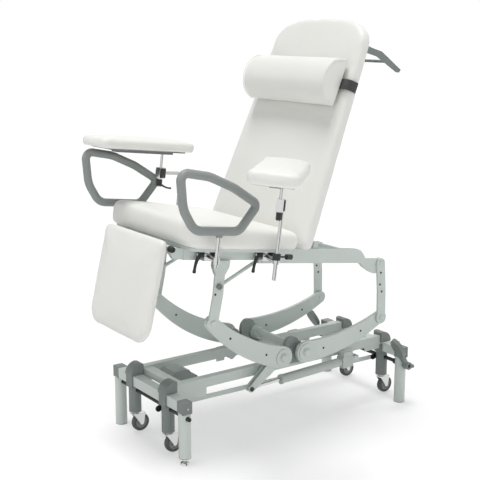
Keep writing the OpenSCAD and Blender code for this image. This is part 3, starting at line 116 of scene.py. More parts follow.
tree.links.new(both.outputs[0], tree.nodes["Material Output"].inputs["Surface"])
floor_mesh.materials.append(floor_paint)

room = bpy.data.worlds.new("room")
room.use_nodes = True
tree = room.node_tree
rays = shader_node(tree, "LightPath", {}).outputs
seen = shader_node(tree, "Math", {0: rays["Is Camera Ray"], 1: rays["Is Transmission Ray"]},
                   operation="MAXIMUM")
flags = flagged(tree, shader_node(tree, "TexCoord", {}).outputs["Generated"])
dim = shader_node(tree, "Background", {"Color": (1, 1, 1, 1), "Strength": room_light})
mirrored = shader_node(tree, "Background", {"Color": (1, 1, 1, 1), "Strength": flags})
white = shader_node(tree, "Background", {"Color": (1, 1, 1, 1), "Strength": 1.0})
unseen = shader_node(tree, "MixShader", {0: rays["Is Glossy Ray"], 1: dim.outputs[0],
                                         2: mirrored.outputs[0]})
both = shader_node(tree, "MixShader", {0: seen.outputs[0], 1: unseen.outputs[0], 2: white.outputs[0]})
tree.links.new(both.outputs[0], tree.nodes["World Output"].inputs["Surface"])
scene.world = room

for label, light_from, light_strength, light_spread in (("overhead", (-0.08, -0.09, 0.99), 2.38, 24),
                                                        ("near_side", (0.96, -0.10, 0.25), 0.42, 60)):
    lamp_data = bpy.data.lights.new(label, "SUN")
    lamp_data.energy = light_strength
    lamp_data.angle = math.radians(light_spread)
    lamp = bpy.data.objects.new(label, lamp_data)
    lamp.location = Vector(light_from) * 5
    lamp.rotation_euler = Vector(light_from).to_track_quat("Z", "Y").to_euler()
    bpy.context.collection.objects.link(lamp)


# Base weldment. Two box-section rails and two end crossbars of steel tube are welded together,
# with four round legs, and powder coated in a pale grey green.
def effect(name, takes, gives):
    """Starts a shader node group and returns it with the sockets of its two ends."""
    group = bpy.data.node_groups.new(name, "ShaderNodeTree")
    for label, value in takes.items():
        socket = group.interface.new_socket(label, in_out="INPUT", socket_type="NodeSocketFloat")
        socket.default_value = value
    for label, kind in gives.items():
        group.interface.new_socket(label, in_out="OUTPUT", socket_type="NodeSocket" + kind)
    return group, group.nodes.new("NodeGroupInput").outputs, group.nodes.new("NodeGroupOutput").inputs


# Rounded edges catch the light, and hands and shoes rub the coat thin along them
edge_effect, takes, gives = effect("Rounded worn edges", {"Radius": 0.001, "Wear": 0.3},
                                   {"Normal": "Vector", "Worn": "Float"})
rounded = shader_node(edge_effect, "Bevel", {"Radius": takes["Radius"]}, samples=6)
facing = shader_node(edge_effect, "NewGeometry", {})
match = shader_node(edge_effect, "VectorMath", {0: rounded.outputs[0], 1: facing.outputs["Normal"]},
                    operation="DOT_PRODUCT")
near_edge = shader_node(edge_effect, "MapRange", {"Value": match.outputs["Value"], "From Min": 0.995,
                                                  "From Max": 0.9})
spot = shader_node(edge_effect, "TexCoord", {})
patches = shader_node(edge_effect, "TexNoise", {"Vector": spot.outputs["Object"], "Scale": 34.0,
                                                "Detail": 4.0})
rubbed = shader_node(edge_effect, "MapRange", {"Value": patches.outputs[0], "From Min": 0.42,
                                               "From Max": 0.68})
worn = shader_node(edge_effect, "Math", {0: near_edge.outputs[0], 1: rubbed.outputs[0]}, operation="MULTIPLY")
worn = shader_node(edge_effect, "Math", {0: worn.outputs[0], 1: takes["Wear"]}, operation="MULTIPLY")
edge_effect.links.new(rounded.outputs[0], gives["Normal"])
edge_effect.links.new(worn.outputs[0], gives["Worn"])

# Fine grain of a coat or a moulding, with the slow drift in tone of a wiped surface
grain_effect, takes, gives = effect("Surface grain", {"Grain": 900.0, "Drift Size": 3.0},
                                    {"Height": "Float", "Drift": "Float", "Marks": "Float"})
spot = shader_node(grain_effect, "TexCoord", {})
fine = shader_node(grain_effect, "TexNoise", {"Vector": spot.outputs["Object"], "Scale": takes["Grain"],
                                              "Detail": 2.0})
slow = shader_node(grain_effect, "TexNoise", {"Vector": spot.outputs["Object"], "Detail": 3.0,
                                              "Scale": takes["Drift Size"]})
drift = shader_node(grain_effect, "MapRange", {"Value": slow.outputs[0], "From Min": 0.32, "From Max": 0.68})
smears = shader_node(grain_effect, "TexNoise", {"Vector": spot.outputs["Object"], "Scale": 22.0,
                                                "Detail": 6.0, "Distortion": 0.6})
marks = shader_node(grain_effect, "MapRange", {"Value": smears.outputs[0], "From Min": 0.4, "From Max": 0.7})
grain_effect.links.new(fine.outputs[0], gives["Height"])
grain_effect.links.new(drift.outputs[0], gives["Drift"])
grain_effect.links.new(marks.outputs[0], gives["Marks"])


def placed(tree, group, **values):
    """Places a shared effect in a material with its own values."""
    made = tree.nodes.new("ShaderNodeGroup")
    made.node_tree = group
    for label, value in values.items():
        made.inputs[label.replace("_", " ")].default_value = value
    return made.outputs


def blended(tree, share, first, second):
    """Mixes two colours, each fixed or from a socket."""
    made = shader_node(tree, "Mix", {0: share}, data_type="RGBA")
    for index, colour in ((6, first), (7, second)):
        if isinstance(colour, bpy.types.NodeSocket):
            tree.links.new(colour, made.inputs[index])
        else:
            made.inputs[index].default_value = (*colour, 1)
    return made.outputs[2]


def coated(name, colour, shade, rubbed, rough, metal=0.0, edge=0.0012, wear=0.35, grain=900.0,
           relief=0.00003, drift=3.0):
    """A coated, moulded or plated finish: its colour and slow shade, rubbed edges and fine grain."""
    made = bpy.data.materials.new(name)
    made.use_nodes = True
    tree = made.node_tree
    shader = tree.nodes["Principled BSDF"]
    shader.inputs["Metallic"].default_value = metal
    edges = placed(tree, edge_effect, Radius=edge, Wear=wear)
    skin = placed(tree, grain_effect, Grain=grain, Drift_Size=drift)
    tone = blended(tree, skin["Drift"], colour, shade)
    tree.links.new(blended(tree, edges["Worn"], tone, rubbed), shader.inputs["Base Color"])
    polish = shader_node(tree, "MapRange", {"Value": skin["Marks"], "To Min": rough * 0.86,
                                            "To Max": rough * 1.18})
    tree.links.new(polish.outputs[0], shader.inputs["Roughness"])
    bump = shader_node(tree, "Bump", {"Height": skin["Height"], "Distance": relief,
                                      "Normal": edges["Normal"]})
    tree.links.new(bump.outputs[0], shader.inputs["Normal"])
    return made


def finish(made, *names):
    """Gives CAD nodes their finish."""
    for name in names:
        for slot in nodes[name].material_slots:
            slot.material = made


frame_paint = coated("frame_paint", (0.60, 0.652, 0.622), (0.555, 0.61, 0.58), (0.70, 0.725, 0.705), 0.40)
finish(frame_paint, "base_frame", "leg_tubes", "base_brackets")


# Leg glides. A black plastic insert is pressed into the foot of each leg, with a rim round the tube.
# The leg with the levelling screw has the same insert round its thread.
def turned(shape, outline, place, steps=28):
    """Turns an outline of (radius, height) points about its own z axis and puts it in place."""
    before = set(shape.verts)
    points = [shape.verts.new((radius, 0, height)) for radius, height in outline]
    lines = [shape.edges.new(pair) for pair in zip(points, points[1:])]
    bmesh.ops.spin(shape, geom=points + lines, cent=(0, 0, 0), axis=(0, 0, 1), angle=2 * math.pi,
                   steps=steps, use_merge=True)
    fresh = [point for point in shape.verts if point not in before]
    bmesh.ops.remove_doubles(shape, verts=fresh, dist=0.000005)
    fresh = [point for point in shape.verts if point not in before]
    bmesh.ops.transform(shape, matrix=place, verts=fresh)


def fitted(name, shape, made, body, crease=38):
    """Makes a finished piece of a shape, with its material and body."""
    bmesh.ops.recalc_face_normals(shape, faces=shape.faces)
    mesh = bpy.data.meshes.new(name)
    shape.to_mesh(mesh)
    shape.free()
    mesh.materials.append(made)
    for face in mesh.polygons:
        face.use_smooth = True
    mesh.set_sharp_from_angle(angle=math.radians(crease))
    piece = bpy.data.objects.new(name, mesh)
    bpy.context.collection.objects.link(piece)
    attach(piece, body)
    return piece


leg_x, leg_y = 0.249, 0.564
leg_r = 0.024
thread_r = 0.0085
foot_clear = 0.027
glide_outline = [(thread_r, 0.0002), (leg_r - 0.0012, 0.0002), (leg_r + 0.0001, 0.0008),
                 (leg_r + 0.0003, 0.0020), (leg_r - 0.0040, 0.0022)]
black_moulding = coated("black_moulding", (0.020, 0.021, 0.022), (0.028, 0.029, 0.030), (0.10, 0.10, 0.10),
                        0.42, edge=0.0008, wear=0.5, grain=1400.0, relief=0.00005)
glides = bmesh.new()
for foot in ((leg_x, leg_y, 0), (-leg_x, leg_y, 0), (-leg_x, -leg_y, 0), (leg_x, -leg_y, foot_clear)):
    turned(glides, glide_outline, Matrix.Translation(foot), steps=40)
fitted("leg_glides", glides, black_moulding, "base")

# Corner connectors. Grey glass-filled plastic mouldings plug into the ends of the crossbars
# and sit on top of the legs; a countersunk screw holds each from the outside.
plastic_grey = coated("plastic_grey", (0.215, 0.243, 0.232), (0.19, 0.215, 0.205), (0.32, 0.34, 0.33), 0.5,
                      wear=0.25, grain=1500.0, relief=0.00006)
finish(plastic_grey, "corner_connectors", "caster_housings")
bright_metal = coated("bright_metal", (0.72, 0.73, 0.72), (0.66, 0.67, 0.66), (0.84, 0.84, 0.83), 0.13,
                      metal=1.0, edge=0.0008, wear=0.3, grain=260.0, relief=0.00001)
connector_screw_z = 0.2285
screw_outline = [(0.0, 0.0004), (0.0016, 0.0004), (0.0017, 0.0016), (0.0029, 0.0022), (0.0041, 0.0017),
                 (0.0047, 0.0004), (0.0047, -0.0012)]


def across(place, side):
    """Where a turned piece goes when its axis lies across the chair, to the left for side 1."""
    return Matrix.Translation(place) @ Matrix.Rotation(side * math.pi / 2, 4, "Y")


screws = bmesh.new()
for side in (1, -1):
    for end in (1, -1):
        turned(screws, screw_outline, across((side * (leg_x + leg_r), end * leg_y, connector_screw_z), side))
fitted("connector_screws", screws, bright_metal, "base")

# Levelling foot. A plated steel disc on a threaded stud with a lock nut, screwed into one leg.
# It takes up the play on an uneven floor.
finish(bright_metal, "levelling_foot")

# Casters. Each has a grey rubber tyre on a plastic hub, held by an axle in a pressed steel fork.
# The fork turns on its stem, which the caster gear pushes out of the housing.
finish(bright_metal, "caster_stems", "fork_front_left", "fork_front_right", "fork_rear_left",
       "fork_rear_right")
tyre_rubber = coated("tyre_rubber", (0.105, 0.112, 0.112), (0.085, 0.092, 0.092), (0.17, 0.175, 0.175),
                     0.68, edge=0.001, wear=0.3, grain=700.0, relief=0.00012)
hub_moulding = coated("hub_moulding", (0.30, 0.325, 0.32), (0.26, 0.285, 0.28), (0.42, 0.44, 0.43), 0.45,
                      edge=0.0006, wear=0.2)
hinge_at = {joint["name"]: Vector(joint["pos_m"]) for joint in frame["joints"] if joint["type"] == "hinge"}
tyre_half = [(0.0242, 0.0098), (0.0262, 0.0116), (0.0300, 0.0119), (0.0338, 0.0113), (0.0361, 0.0092),
             (0.0372, 0.0058), (0.0375, 0.0020)]
hub_half = [(0.0042, 0.0118), (0.0088, 0.0118), (0.0095, 0.0110), (0.0100, 0.0080), (0.0190, 0.0072),
            (0.0205, 0.0098), (0.0240, 0.0104), (0.0243, 0.0094)]
rib_count = 6
rib_size = (0.0205, 0.0022, 0.0096)
rib_out = 0.0148


def both_halves(half):
    """A closed wheel outline from its upper half, which runs outwards from the bore."""
    return [(radius, -height) for radius, height in half] + half[::-1] + [(half[0][0], -half[0][1])]


def block(shape, place, size, rounding, segments):
    """A block of the given size with rounded edges."""
    corners = bmesh.ops.create_cube(shape, size=1, matrix=place @ Matrix.Diagonal((*size, 1)))["verts"]
    edges = {edge for point in corners for edge in point.link_edges}
    bmesh.ops.bevel(shape, geom=list(edges), offset=rounding, offset_type="OFFSET", segments=segments,
                    profile=0.5, affect="EDGES", material=-1)


for row in ("front", "rear"):
    for hand in ("left", "right"):
        wheel = f"wheel_{row}_{hand}"
        axle = hinge_at[f"roll_{row}_{hand}"]
        tyre = bmesh.new()
        turned(tyre, both_halves(tyre_half), across(axle, 1), steps=56)
        tyre = fitted(f"tyre_{row}_{hand}", tyre, tyre_rubber, wheel)
        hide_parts(wheel)
        hub = bmesh.new()
        turned(hub, both_halves(hub_half), across(axle, 1), steps=48)
        for rib in range(rib_count):
            spoke = Matrix.Translation(axle) @ Matrix.Rotation(rib * 2 * math.pi / rib_count, 4, "X")
            block(hub, spoke @ Matrix.Translation((0, 0, rib_out)), rib_size, rounding=0.0005, segments=2)
        fitted(f"hub_{row}_{hand}", hub, hub_moulding, wheel)

# Caster gear. Hexagonal black steel shafts run through the legs and housings and are turned by
# two ribbed plastic pedals; a painted flat bar joins their cranks.
black_steel = coated("black_steel", (0.030, 0.031, 0.033), (0.042, 0.043, 0.045), (0.30, 0.30, 0.30), 0.34,
                     metal=0.6, edge=0.0006, wear=0.5, grain=500.0)
finish(black_steel, "front_caster_shaft", "rear_caster_shaft")
finish(plastic_grey, "foot_pedals")
finish(frame_paint, "caster_push_bar")

# Bearing pedestals and control box. Coated cast blocks on the base rails carry both lift shafts,
# and the moulded box of the controls is fixed between the rails in the same lighter grey.
pedestal_coat = coated("pedestal_coat", (0.30, 0.335, 0.32), (0.265, 0.30, 0.288), (0.42, 0.45, 0.44), 0.46)
finish(pedestal_coat, "bearing_pedestals", "control_box")

# Lift arms. Thick cast arms are clamped on the ends of the lift shafts with socket screws, under
# domed caps, and carry the top frame on round pins; all are coated like the base.
finish(frame_paint, "front_arms", "front_shaft", "rear_arms", "rear_shaft", "rear_links")
dark_screw = coated("dark_screw", (0.05, 0.053, 0.053), (0.07, 0.073, 0.073), (0.28, 0.28, 0.28), 0.38,
                    metal=0.7, edge=0.0005, wear=0.5)
arm_outer, arm_inner = 0.208, 0.192
link_outer, link_inner = 0.217, 0.209
front_arm_screws = [(-0.1470, 0.3437), (-0.3232, 0.4447)]
rear_arm_screws = [(0.1521, 0.3158), (0.3592, 0.3528)]
link_screws = [(0.4676, 0.5129), (0.4570, 0.5452), (0.4600, 0.5969)]
cap_face = 0.212
cap_outline = [(0.0, 0.0128), (0.0060, 0.0125), (0.0115, 0.0110), (0.0155, 0.0080), (0.0176, 0.0040),
               (0.0184, 0.0), (0.0184, -0.0012)]


def screws_through(name, body, outer, inner, spots):
    """Screw heads on the outer and inner faces of both sides, at (y, z) spots."""
    shape = bmesh.new()
    for side in (1, -1):
        for y, z in spots:
            for x, way in ((outer, side), (inner, -side)):
                turned(shape, screw_outline, across((side * x, y, z), way))
    fitted(name, shape, dark_screw, body)


for row, body, joint in (("front", "front_lift", "lift"), ("rear", "rear_lift", "rear_lift_turn")):
    root = hinge_at[joint]
    caps = bmesh.new()
    for side in (1, -1):
        turned(caps, cap_outline, across((side * cap_face, root.y, root.z), side), steps=40)
    fitted(f"{row}_root_caps", caps, frame_paint, body)
screws_through("front_arm_screws", "front_lift", arm_outer, arm_inner, front_arm_screws)
screws_through("rear_arm_screws", "rear_lift", arm_outer, arm_inner, rear_arm_screws)
screws_through("link_screws", "rear_links", link_outer, link_inner, link_screws)

# Lift drives. A cast motor case and a plastic outer tube push a polished rod; the case hangs on
# a clevis at the base and the rod's eye takes the lever of a lift shaft.
drive_coat = coated("drive_coat", (0.50, 0.545, 0.52), (0.46, 0.505, 0.48), (0.58, 0.61, 0.59), 0.44)
finish(drive_coat, "front_actuator_case", "rear_actuator_case")
finish(bright_metal, "front_actuator_rod", "rear_actuator_rod")
lever_pin_at = (0.1917, -0.207, 0.206)
lever_pin = bmesh.new()
turned(lever_pin, [(0.0, 0.0052), (0.0078, 0.0052), (0.0092, 0.0040), (0.0095, 0.0), (0.0095, -0.0010)],
       across(lever_pin_at, 1), steps=32)
fitted("lever_pin", lever_pin, dark_screw, "front_lift")

# Top frame. Box-section rails with cast end caps carry the seat and the rear links, and two
# forked legs with braces stand on the front arms; all are coated like the base.
finish(frame_paint, "top_rails", "front_legs", "frame_brackets")
front_leg_screws = [(-0.3991, 0.6361)]
screws_through("front_leg_screws", "top_frame", link_outer, link_inner, front_leg_screws)
frame_z = 0.7624
seat_pitch = math.radians(7.8)
frame_turn = Matrix.Translation((0, 0, frame_z)) @ Matrix.Rotation(-seat_pitch, 4, "X")


def lobed(shape, radius, height, lobes, depth, place):
    """A moulded grip knob: lobes round its side, a rounded rim and a shallow dish in its face."""
    rim_round = height * 0.16
    dish_edge = radius * 0.28
    dish_deep = height * 0.06
    side_points = lobes * 8
    before = set(shape.verts)
    ring = bmesh.ops.create_circle(shape, cap_ends=True, segments=side_points, radius=radius)["verts"]
    for point in ring:
        angle = math.atan2(point.co.y, point.co.x)
        point.co *= 1 - depth * (0.5 - 0.5 * math.cos(lobes * angle))
    raised = bmesh.ops.extrude_face_region(shape, geom=[ring[0].link_faces[0]])["geom"]
    bmesh.ops.translate(shape, vec=(0, 0, height),
                        verts=[item for item in raised if isinstance(item, bmesh.types.BMVert)])
    top = next(item for item in raised if isinstance(item, bmesh.types.BMFace))
    bmesh.ops.bevel(shape, geom=list(top.edges), offset=rim_round, offset_type="OFFSET", segments=3,
                    profile=0.5, affect="EDGES", material=-1)
    ends = [face for face in shape.faces if len(face.verts) == side_points and face.verts[0] not in before]
    face = max(ends, key=lambda end: end.calc_center_median().z)
    bmesh.ops.inset_region(shape, faces=[face], thickness=dish_edge, depth=-dish_deep)
    fresh = [point for point in shape.verts if point not in before]
    bmesh.ops.transform(shape, matrix=place, verts=fresh)


brace_x, brace_y, brace_z = 0.2186, -0.3827, 0.6655
brace_knobs = bmesh.new()
for side in (1, -1):
    lobed(brace_knobs, radius=0.0118, height=0.0085, lobes=8, depth=0.10,
          place=across((side * brace_x, brace_y, brace_z), side))
fitted("brace_knobs", brace_knobs, plastic_grey, "top_frame")

# Seat. A painted board is screwed to the rails. The foam cushion on it has a sewn cover of white
# vinyl, which the foam fills to its corners and which is stapled under the board.
finish(frame_paint, "seat_board")

# Fine leather-like grain of vinyl with soft unevenness over the foam
vinyl_effect, takes, gives = effect("Vinyl grain", {"Grain": 620.0, "Soft Size": 9.0},
                                    {"Pebbles": "Float", "Swell": "Float"})
spot = shader_node(vinyl_effect, "TexCoord", {})
cells = shader_node(vinyl_effect, "TexVoronoi", {"Vector": spot.outputs["Object"], "Scale": takes["Grain"]},
                    feature="DISTANCE_TO_EDGE")
pebbles = shader_node(vinyl_effect, "MapRange", {"Value": cells.outputs["Distance"], "From Min": 0.0,
                                                 "From Max": 0.16})
swell = shader_node(vinyl_effect, "TexNoise", {"Vector": spot.outputs["Object"], "Scale": takes["Soft Size"],
                                               "Detail": 2.0})
vinyl_effect.links.new(pebbles.outputs[0], gives["Pebbles"])
vinyl_effect.links.new(swell.outputs[0], gives["Swell"])


def vinyl(name, colour, shade, rough=0.46):
    """Soft coated cover: pebbles in its colour and relief, with painted shade darkening the grooves between
    them, over the swell of the foam.
    """
    made = bpy.data.materials.new(name)
    made.use_nodes = True
    tree = made.node_tree
    shader = tree.nodes["Principled BSDF"]
    shader.inputs["Specular IOR Level"].default_value = 0.42
    cover = placed(tree, vinyl_effect, Grain=620.0)
    skin = placed(tree, grain_effect, Grain=1600.0, Drift_Size=2.2)
    tone = blended(tree, skin["Drift"], colour, shade)
    # Painted shade: the grooves between the pebbles are darkened a little towards a warm grey
    groove_shaded_tone = shader_node(tree, "Mix", {0: 0.94, 6: tone, 7: (0.66, 0.655, 0.60, 1)}, data_type="RGBA",
                              blend_type="MULTIPLY")
    painted_groove_shade = shader_node(tree, "Math", {0: 1.0, 1: cover["Pebbles"]}, operation="SUBTRACT")
    painted_groove_shade = shader_node(tree, "Math", {0: painted_groove_shade.outputs[0], 1: 0.10}, operation="MULTIPLY")
    tone = blended(tree, painted_groove_shade.outputs[0], tone, groove_shaded_tone.outputs[2])
    tree.links.new(tone, shader.inputs["Base Color"])
    polish = shader_node(tree, "MapRange", {"Value": skin["Marks"], "To Min": rough * 0.88,
                                            "To Max": rough * 1.14})
    tree.links.new(polish.outputs[0], shader.inputs["Roughness"])
    wide = shader_node(tree, "Bump", {"Height": cover["Swell"], "Distance": 0.0016, "Strength": 0.35})
    fine = shader_node(tree, "Bump", {"Height": cover["Pebbles"], "Distance": 0.00006,
                                      "Normal": wide.outputs[0]})
    tree.links.new(fine.outputs[0], shader.inputs["Normal"])
    return made


white_vinyl = vinyl("white_vinyl", (0.815, 0.815, 0.785), (0.785, 0.785, 0.75))


def evened(form, passes):
    """Smooths every point of a form a few times."""
    for _ in range(passes):
        bmesh.ops.smooth_vert(form, verts=form.verts, factor=0.5, use_axis_x=True, use_axis_y=True,
                              use_axis_z=True)


def blown_out(pad, held, rise, last_frame=20):
    """Lets the filling press a pad's cover out from its board, by no more than the rise."""
    cover = pad.data
    start = [point.co.copy() for point in cover.vertices]
    board = pad.vertex_groups.new(name="board")
    board.add(held, 1.0, "REPLACE")
    cloth = pad.modifiers.new("Cloth", "CLOTH").settings
    cloth.quality = 5
    cloth.mass = 0.3
    cloth.tension_stiffness = 18
    cloth.compression_stiffness = 18
    cloth.shear_stiffness = 8
    cloth.bending_stiffness = 0.6
    cloth.use_pressure = True
    cloth.uniform_pressure_force = 4.0
    cloth.vertex_group_mass = "board"
    cloth.effector_weights.gravity = 0
    for step in range(1, last_frame + 1):
        scene.frame_set(step)
    blown = pad.evaluated_get(bpy.context.evaluated_depsgraph_get()).data
    moves = [after.co - before for after, before in zip(blown.vertices, start)]
    usual_most = sorted(move.length for move in moves)[int(len(moves) * 0.985)]
    reach = min(1.0, rise / max(usual_most, 0.0001))
    pad.modifiers.clear()
    scene.frame_set(1)
    for point, before, move in zip(cover.vertices, start, moves):
        step = move * reach
        if step.length > rise:
            step = step.normalized() * rise
        point.co = before + step
    form = bmesh.new()
    form.from_mesh(cover)
    evened(form, 2)
    form.to_mesh(cover)
    form.free()
    pad.vertex_groups.clear()


def stuffed(cad_name, name, voxel, tuck, rise, turn, down, body, past=((0, 0), (0, 0), (0, 0))):
    """A foam pad in its cover: the CAD form remeshed, drawn in a tuck and blown out again.

    The turn holds the pad's own axes, and down is the way to its board in them. The pad ends at
    its CAD form's size, or goes past it by the given amounts at the low and high end of each axis.
    """
    axes = turn.to_3x3()
    down = axes @ Vector(down)
    form = bmesh.new()
    form.from_mesh(nodes[cad_name].data)
    bmesh.ops.remove_doubles(form, verts=form.verts, dist=0.00002)
    bmesh.ops.recalc_face_normals(form, faces=form.faces)
    packed = bpy.data.meshes.new(name)
    form.to_mesh(packed)
    form.free()
    pad = bpy.data.objects.new(name, packed)
    bpy.context.collection.objects.link(pad)
    remesh = pad.modifiers.new("Remesh", "REMESH")
    remesh.mode = "VOXEL"
    remesh.voxel_size = voxel
    cover = bpy.data.meshes.new_from_object(pad.evaluated_get(bpy.context.evaluated_depsgraph_get()))
    pad.modifiers.clear()
    form = bmesh.new()
    form.from_mesh(cover)
    evened(form, 3)
    form.normal_update()
    held = [point.index for point in form.verts if point.normal.dot(down) > 0.9]
    resting = set(held)
    for point in form.verts:
        if point.index not in resting:
            point.co -= point.normal * tuck
    form.to_mesh(cover)
    form.free()
    pad.data = cover
    blown_out(pad, held, rise)
    want, have = ([axes.transposed() @ point.co for point in shape.vertices] for shape in (packed, cover))
    for axis, (past_low, past_high) in enumerate(past):
        low = min(point[axis] for point in want) - past_low
        high = max(point[axis] for point in want) + past_high
        from_low, from_high = (pick(point[axis] for point in have) for pick in (min, max))
        for point in have:
            point[axis] = low + (point[axis] - from_low) * (high - low) / (from_high - from_low)
    for point, place in zip(cover.vertices, have):
        point.co = axes @ place
    finer = pad.modifiers.new("Subdivision", "SUBSURF")
    finer.levels = finer.render_levels = 1
    cover.materials.clear()
    cover.materials.append(white_vinyl)
    for face in cover.polygons:
        face.use_smooth = True
    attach(pad, body)
    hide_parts(cad_name)


stuffed("seat_cushion", "seat_pad", voxel=0.008, tuck=0.004, rise=0.009, turn=frame_turn, down=(0, 0, -1),
        body="top_frame")

# Backrest. A pressed steel pan on two box tubes turns on the hinge lugs of the rails, and its
# foam cushion is covered like the seat.
back_lean = math.radians(22.7)
back_turn = Matrix.Translation(hinge_at["backrest_hinge"]) @ Matrix.Rotation(-back_lean, 4, "X")
finish(frame_paint, "back_frame")
stuffed("back_cushion", "back_pad", voxel=0.009, tuck=0.004, rise=0.008, turn=back_turn, down=(0, 1, 0),
        body="backrest")

# Head roll. A half-round foam bolster covered in the same vinyl, with welts where its end discs are
# sewn in. Its flat side lies on the cushion and a strap through its back holds it.
roll_half_l, roll_h, roll_d = 0.268, 0.192, 0.096
roll_up = 0.650
roll_flat_y = -0.0984
roll_fullness = 0.85
welt_in = 0.0045
welt_r = 0.0017
welt_steps = 48
stuffed("head_roll", "head_roll_pad", voxel=0.006, tuck=0.003, rise=0.006, turn=back_turn, down=(0, 1, 0),
        body="backrest")


def bead(name, path, radius, made, body):
    """A thin welt along a path of points."""
    line = bpy.data.curves.new(name, "CURVE")
    line.dimensions = "3D"
    line.bevel_depth = radius
    line.bevel_resolution = 3
    run = line.splines.new("POLY")
    run.points.add(len(path) - 1)
    for point, place in zip(run.points, path):
        point.co = (*place, 1)
    line.materials.append(made)
    piece = bpy.data.objects.new(name, line)
    bpy.context.collection.objects.link(piece)
    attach(piece, body)


for hand, side in (("left", 1), ("right", -1)):
    welt = []
    for step in range(1, welt_steps):
        angle = math.pi * step / welt_steps
        welt.append(back_turn @ Vector((side * (roll_half_l - welt_in),
                                        roll_flat_y - roll_d * math.sin(angle) ** roll_fullness,
                                        roll_up - roll_h / 2 * math.cos(angle))))
    bead(f"roll_welt_{hand}", welt, welt_r, white_vinyl, "backrest")

# Head roll strap. A band of woven charcoal webbing is sewn into a loop that runs round the cushion
# and the pan behind it, and keeps the head roll where it is pushed to.
strap_half_w = 0.3055
strap_wide = 0.042
strap_thick = 0.0014
strap_front_y, strap_rear_y = -0.0973, -0.038
strap_bend = 0.024
bend_steps = 8
strap_rows = 6
thread_pitch = {"X": 0.0021, "Y": 0.0019}
webbing = bpy.data.materials.new("webbing")
webbing.use_nodes = True
tree = webbing.node_tree
shader = tree.nodes["Principled BSDF"]
shader.inputs["Roughness"].default_value = 0.82
shader.inputs["Sheen Weight"].default_value = 0.25
shader.inputs["Sheen Roughness"].default_value = 0.5
where = shader_node(tree, "UVMap", {}, uv_map="webbing")
split = shader_node(tree, "SeparateXYZ", {0: where.outputs[0]})
waves = []
for way, pitch in thread_pitch.items():
    turns = shader_node(tree, "Math", {0: split.outputs[way], 1: 2 * math.pi / pitch}, operation="MULTIPLY")
    waves.append(shader_node(tree, "Math", {0: turns.outputs[0]}, operation="SINE").outputs[0])
weave = shader_node(tree, "Math", {0: waves[0], 1: waves[1]}, operation="MULTIPLY")
level = shader_node(tree, "MapRange", {"Value": weave.outputs[0], "From Min": -1.0, "From Max": 1.0})
skin = placed(tree, grain_effect, Grain=2400.0, Drift_Size=14.0)
thread_tone = blended(tree, skin["Drift"], (0.050, 0.051, 0.054), (0.068, 0.069, 0.072))
woven_tone = blended(tree, level.outputs[0], (0.030, 0.031, 0.033), thread_tone)
tree.links.new(woven_tone, shader.inputs["Base Color"])
bump = shader_node(tree, "Bump", {"Height": level.outputs[0], "Distance": 0.0003})
tree.links.new(bump.outputs[0], shader.inputs["Normal"])

# The loop's lower edge, bend by bend, is drawn up to the strap's width in rows
bend_x = strap_half_w - strap_bend
rear_bend_y, front_bend_y = strap_rear_y - strap_bend, strap_front_y + strap_bend
strap_path = []
for centre_x, centre_y, first in ((bend_x, rear_bend_y, 0), (-bend_x, rear_bend_y, 90),
                                  (-bend_x, front_bend_y, 180), (bend_x, front_bend_y, 270)):
    for step in range(bend_steps + 1):
        angle = math.radians(first + step * 90 / bend_steps)
        strap_path.append(Vector((centre_x + strap_bend * math.cos(angle),
                                  centre_y + strap_bend * math.sin(angle), roll_up - strap_wide / 2)))
band = bmesh.new()
uv = band.loops.layers.uv.new("webbing")
lower = [band.verts.new(point) for point in strap_path]
ring = [band.edges.new((lower[index - 1], lower[index])) for index in range(len(lower))]
for row in range(strap_rows):
    grown = bmesh.ops.extrude_edge_only(band, edges=ring)["geom"]
    moved = [item for item in grown if isinstance(item, bmesh.types.BMVert)]
    bmesh.ops.translate(band, vec=(0, 0, strap_wide / strap_rows), verts=moved)
    ring = [item for item in grown if isinstance(item, bmesh.types.BMEdge)
            and all(point in moved for point in item.verts)]

# The weave follows the length run along the strap, and carries on past the last bend
length = 0.0
run = {}
for index, point in enumerate(strap_path):
    if index:
        length += (point - strap_path[index - 1]).length
    run[(round(point.x, 5), round(point.y, 5))] = length
lap = length + (strap_path[-1] - strap_path[0]).length
for face in band.faces:
    along = [run[(round(corner.vert.co.x, 5), round(corner.vert.co.y, 5))] for corner in face.loops]
    wraps = max(along) - min(along) > length / 2
    for corner, value in zip(face.loops, along):
        if wraps and value < length / 2:
            value += lap
        corner[uv].uv = (value, corner.vert.co.z)
bmesh.ops.transform(band, matrix=back_turn, verts=band.verts)
strap = fitted("head_roll_band", band, webbing, "backrest", crease=60)
thick = strap.modifiers.new("Solidify", "SOLIDIFY")
thick.thickness = strap_thick
thick.offset = 0
soft = strap.modifiers.new("Bevel", "BEVEL")
soft.width = 0.0004
soft.segments = 2
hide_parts("head_roll_strap")

# Push handle. Two moulded cheeks are screwed to the sides of the pan, with a steel bar between
# them that the nurse pushes or holds when reclining the back.
finish(plastic_grey, "push_handle")

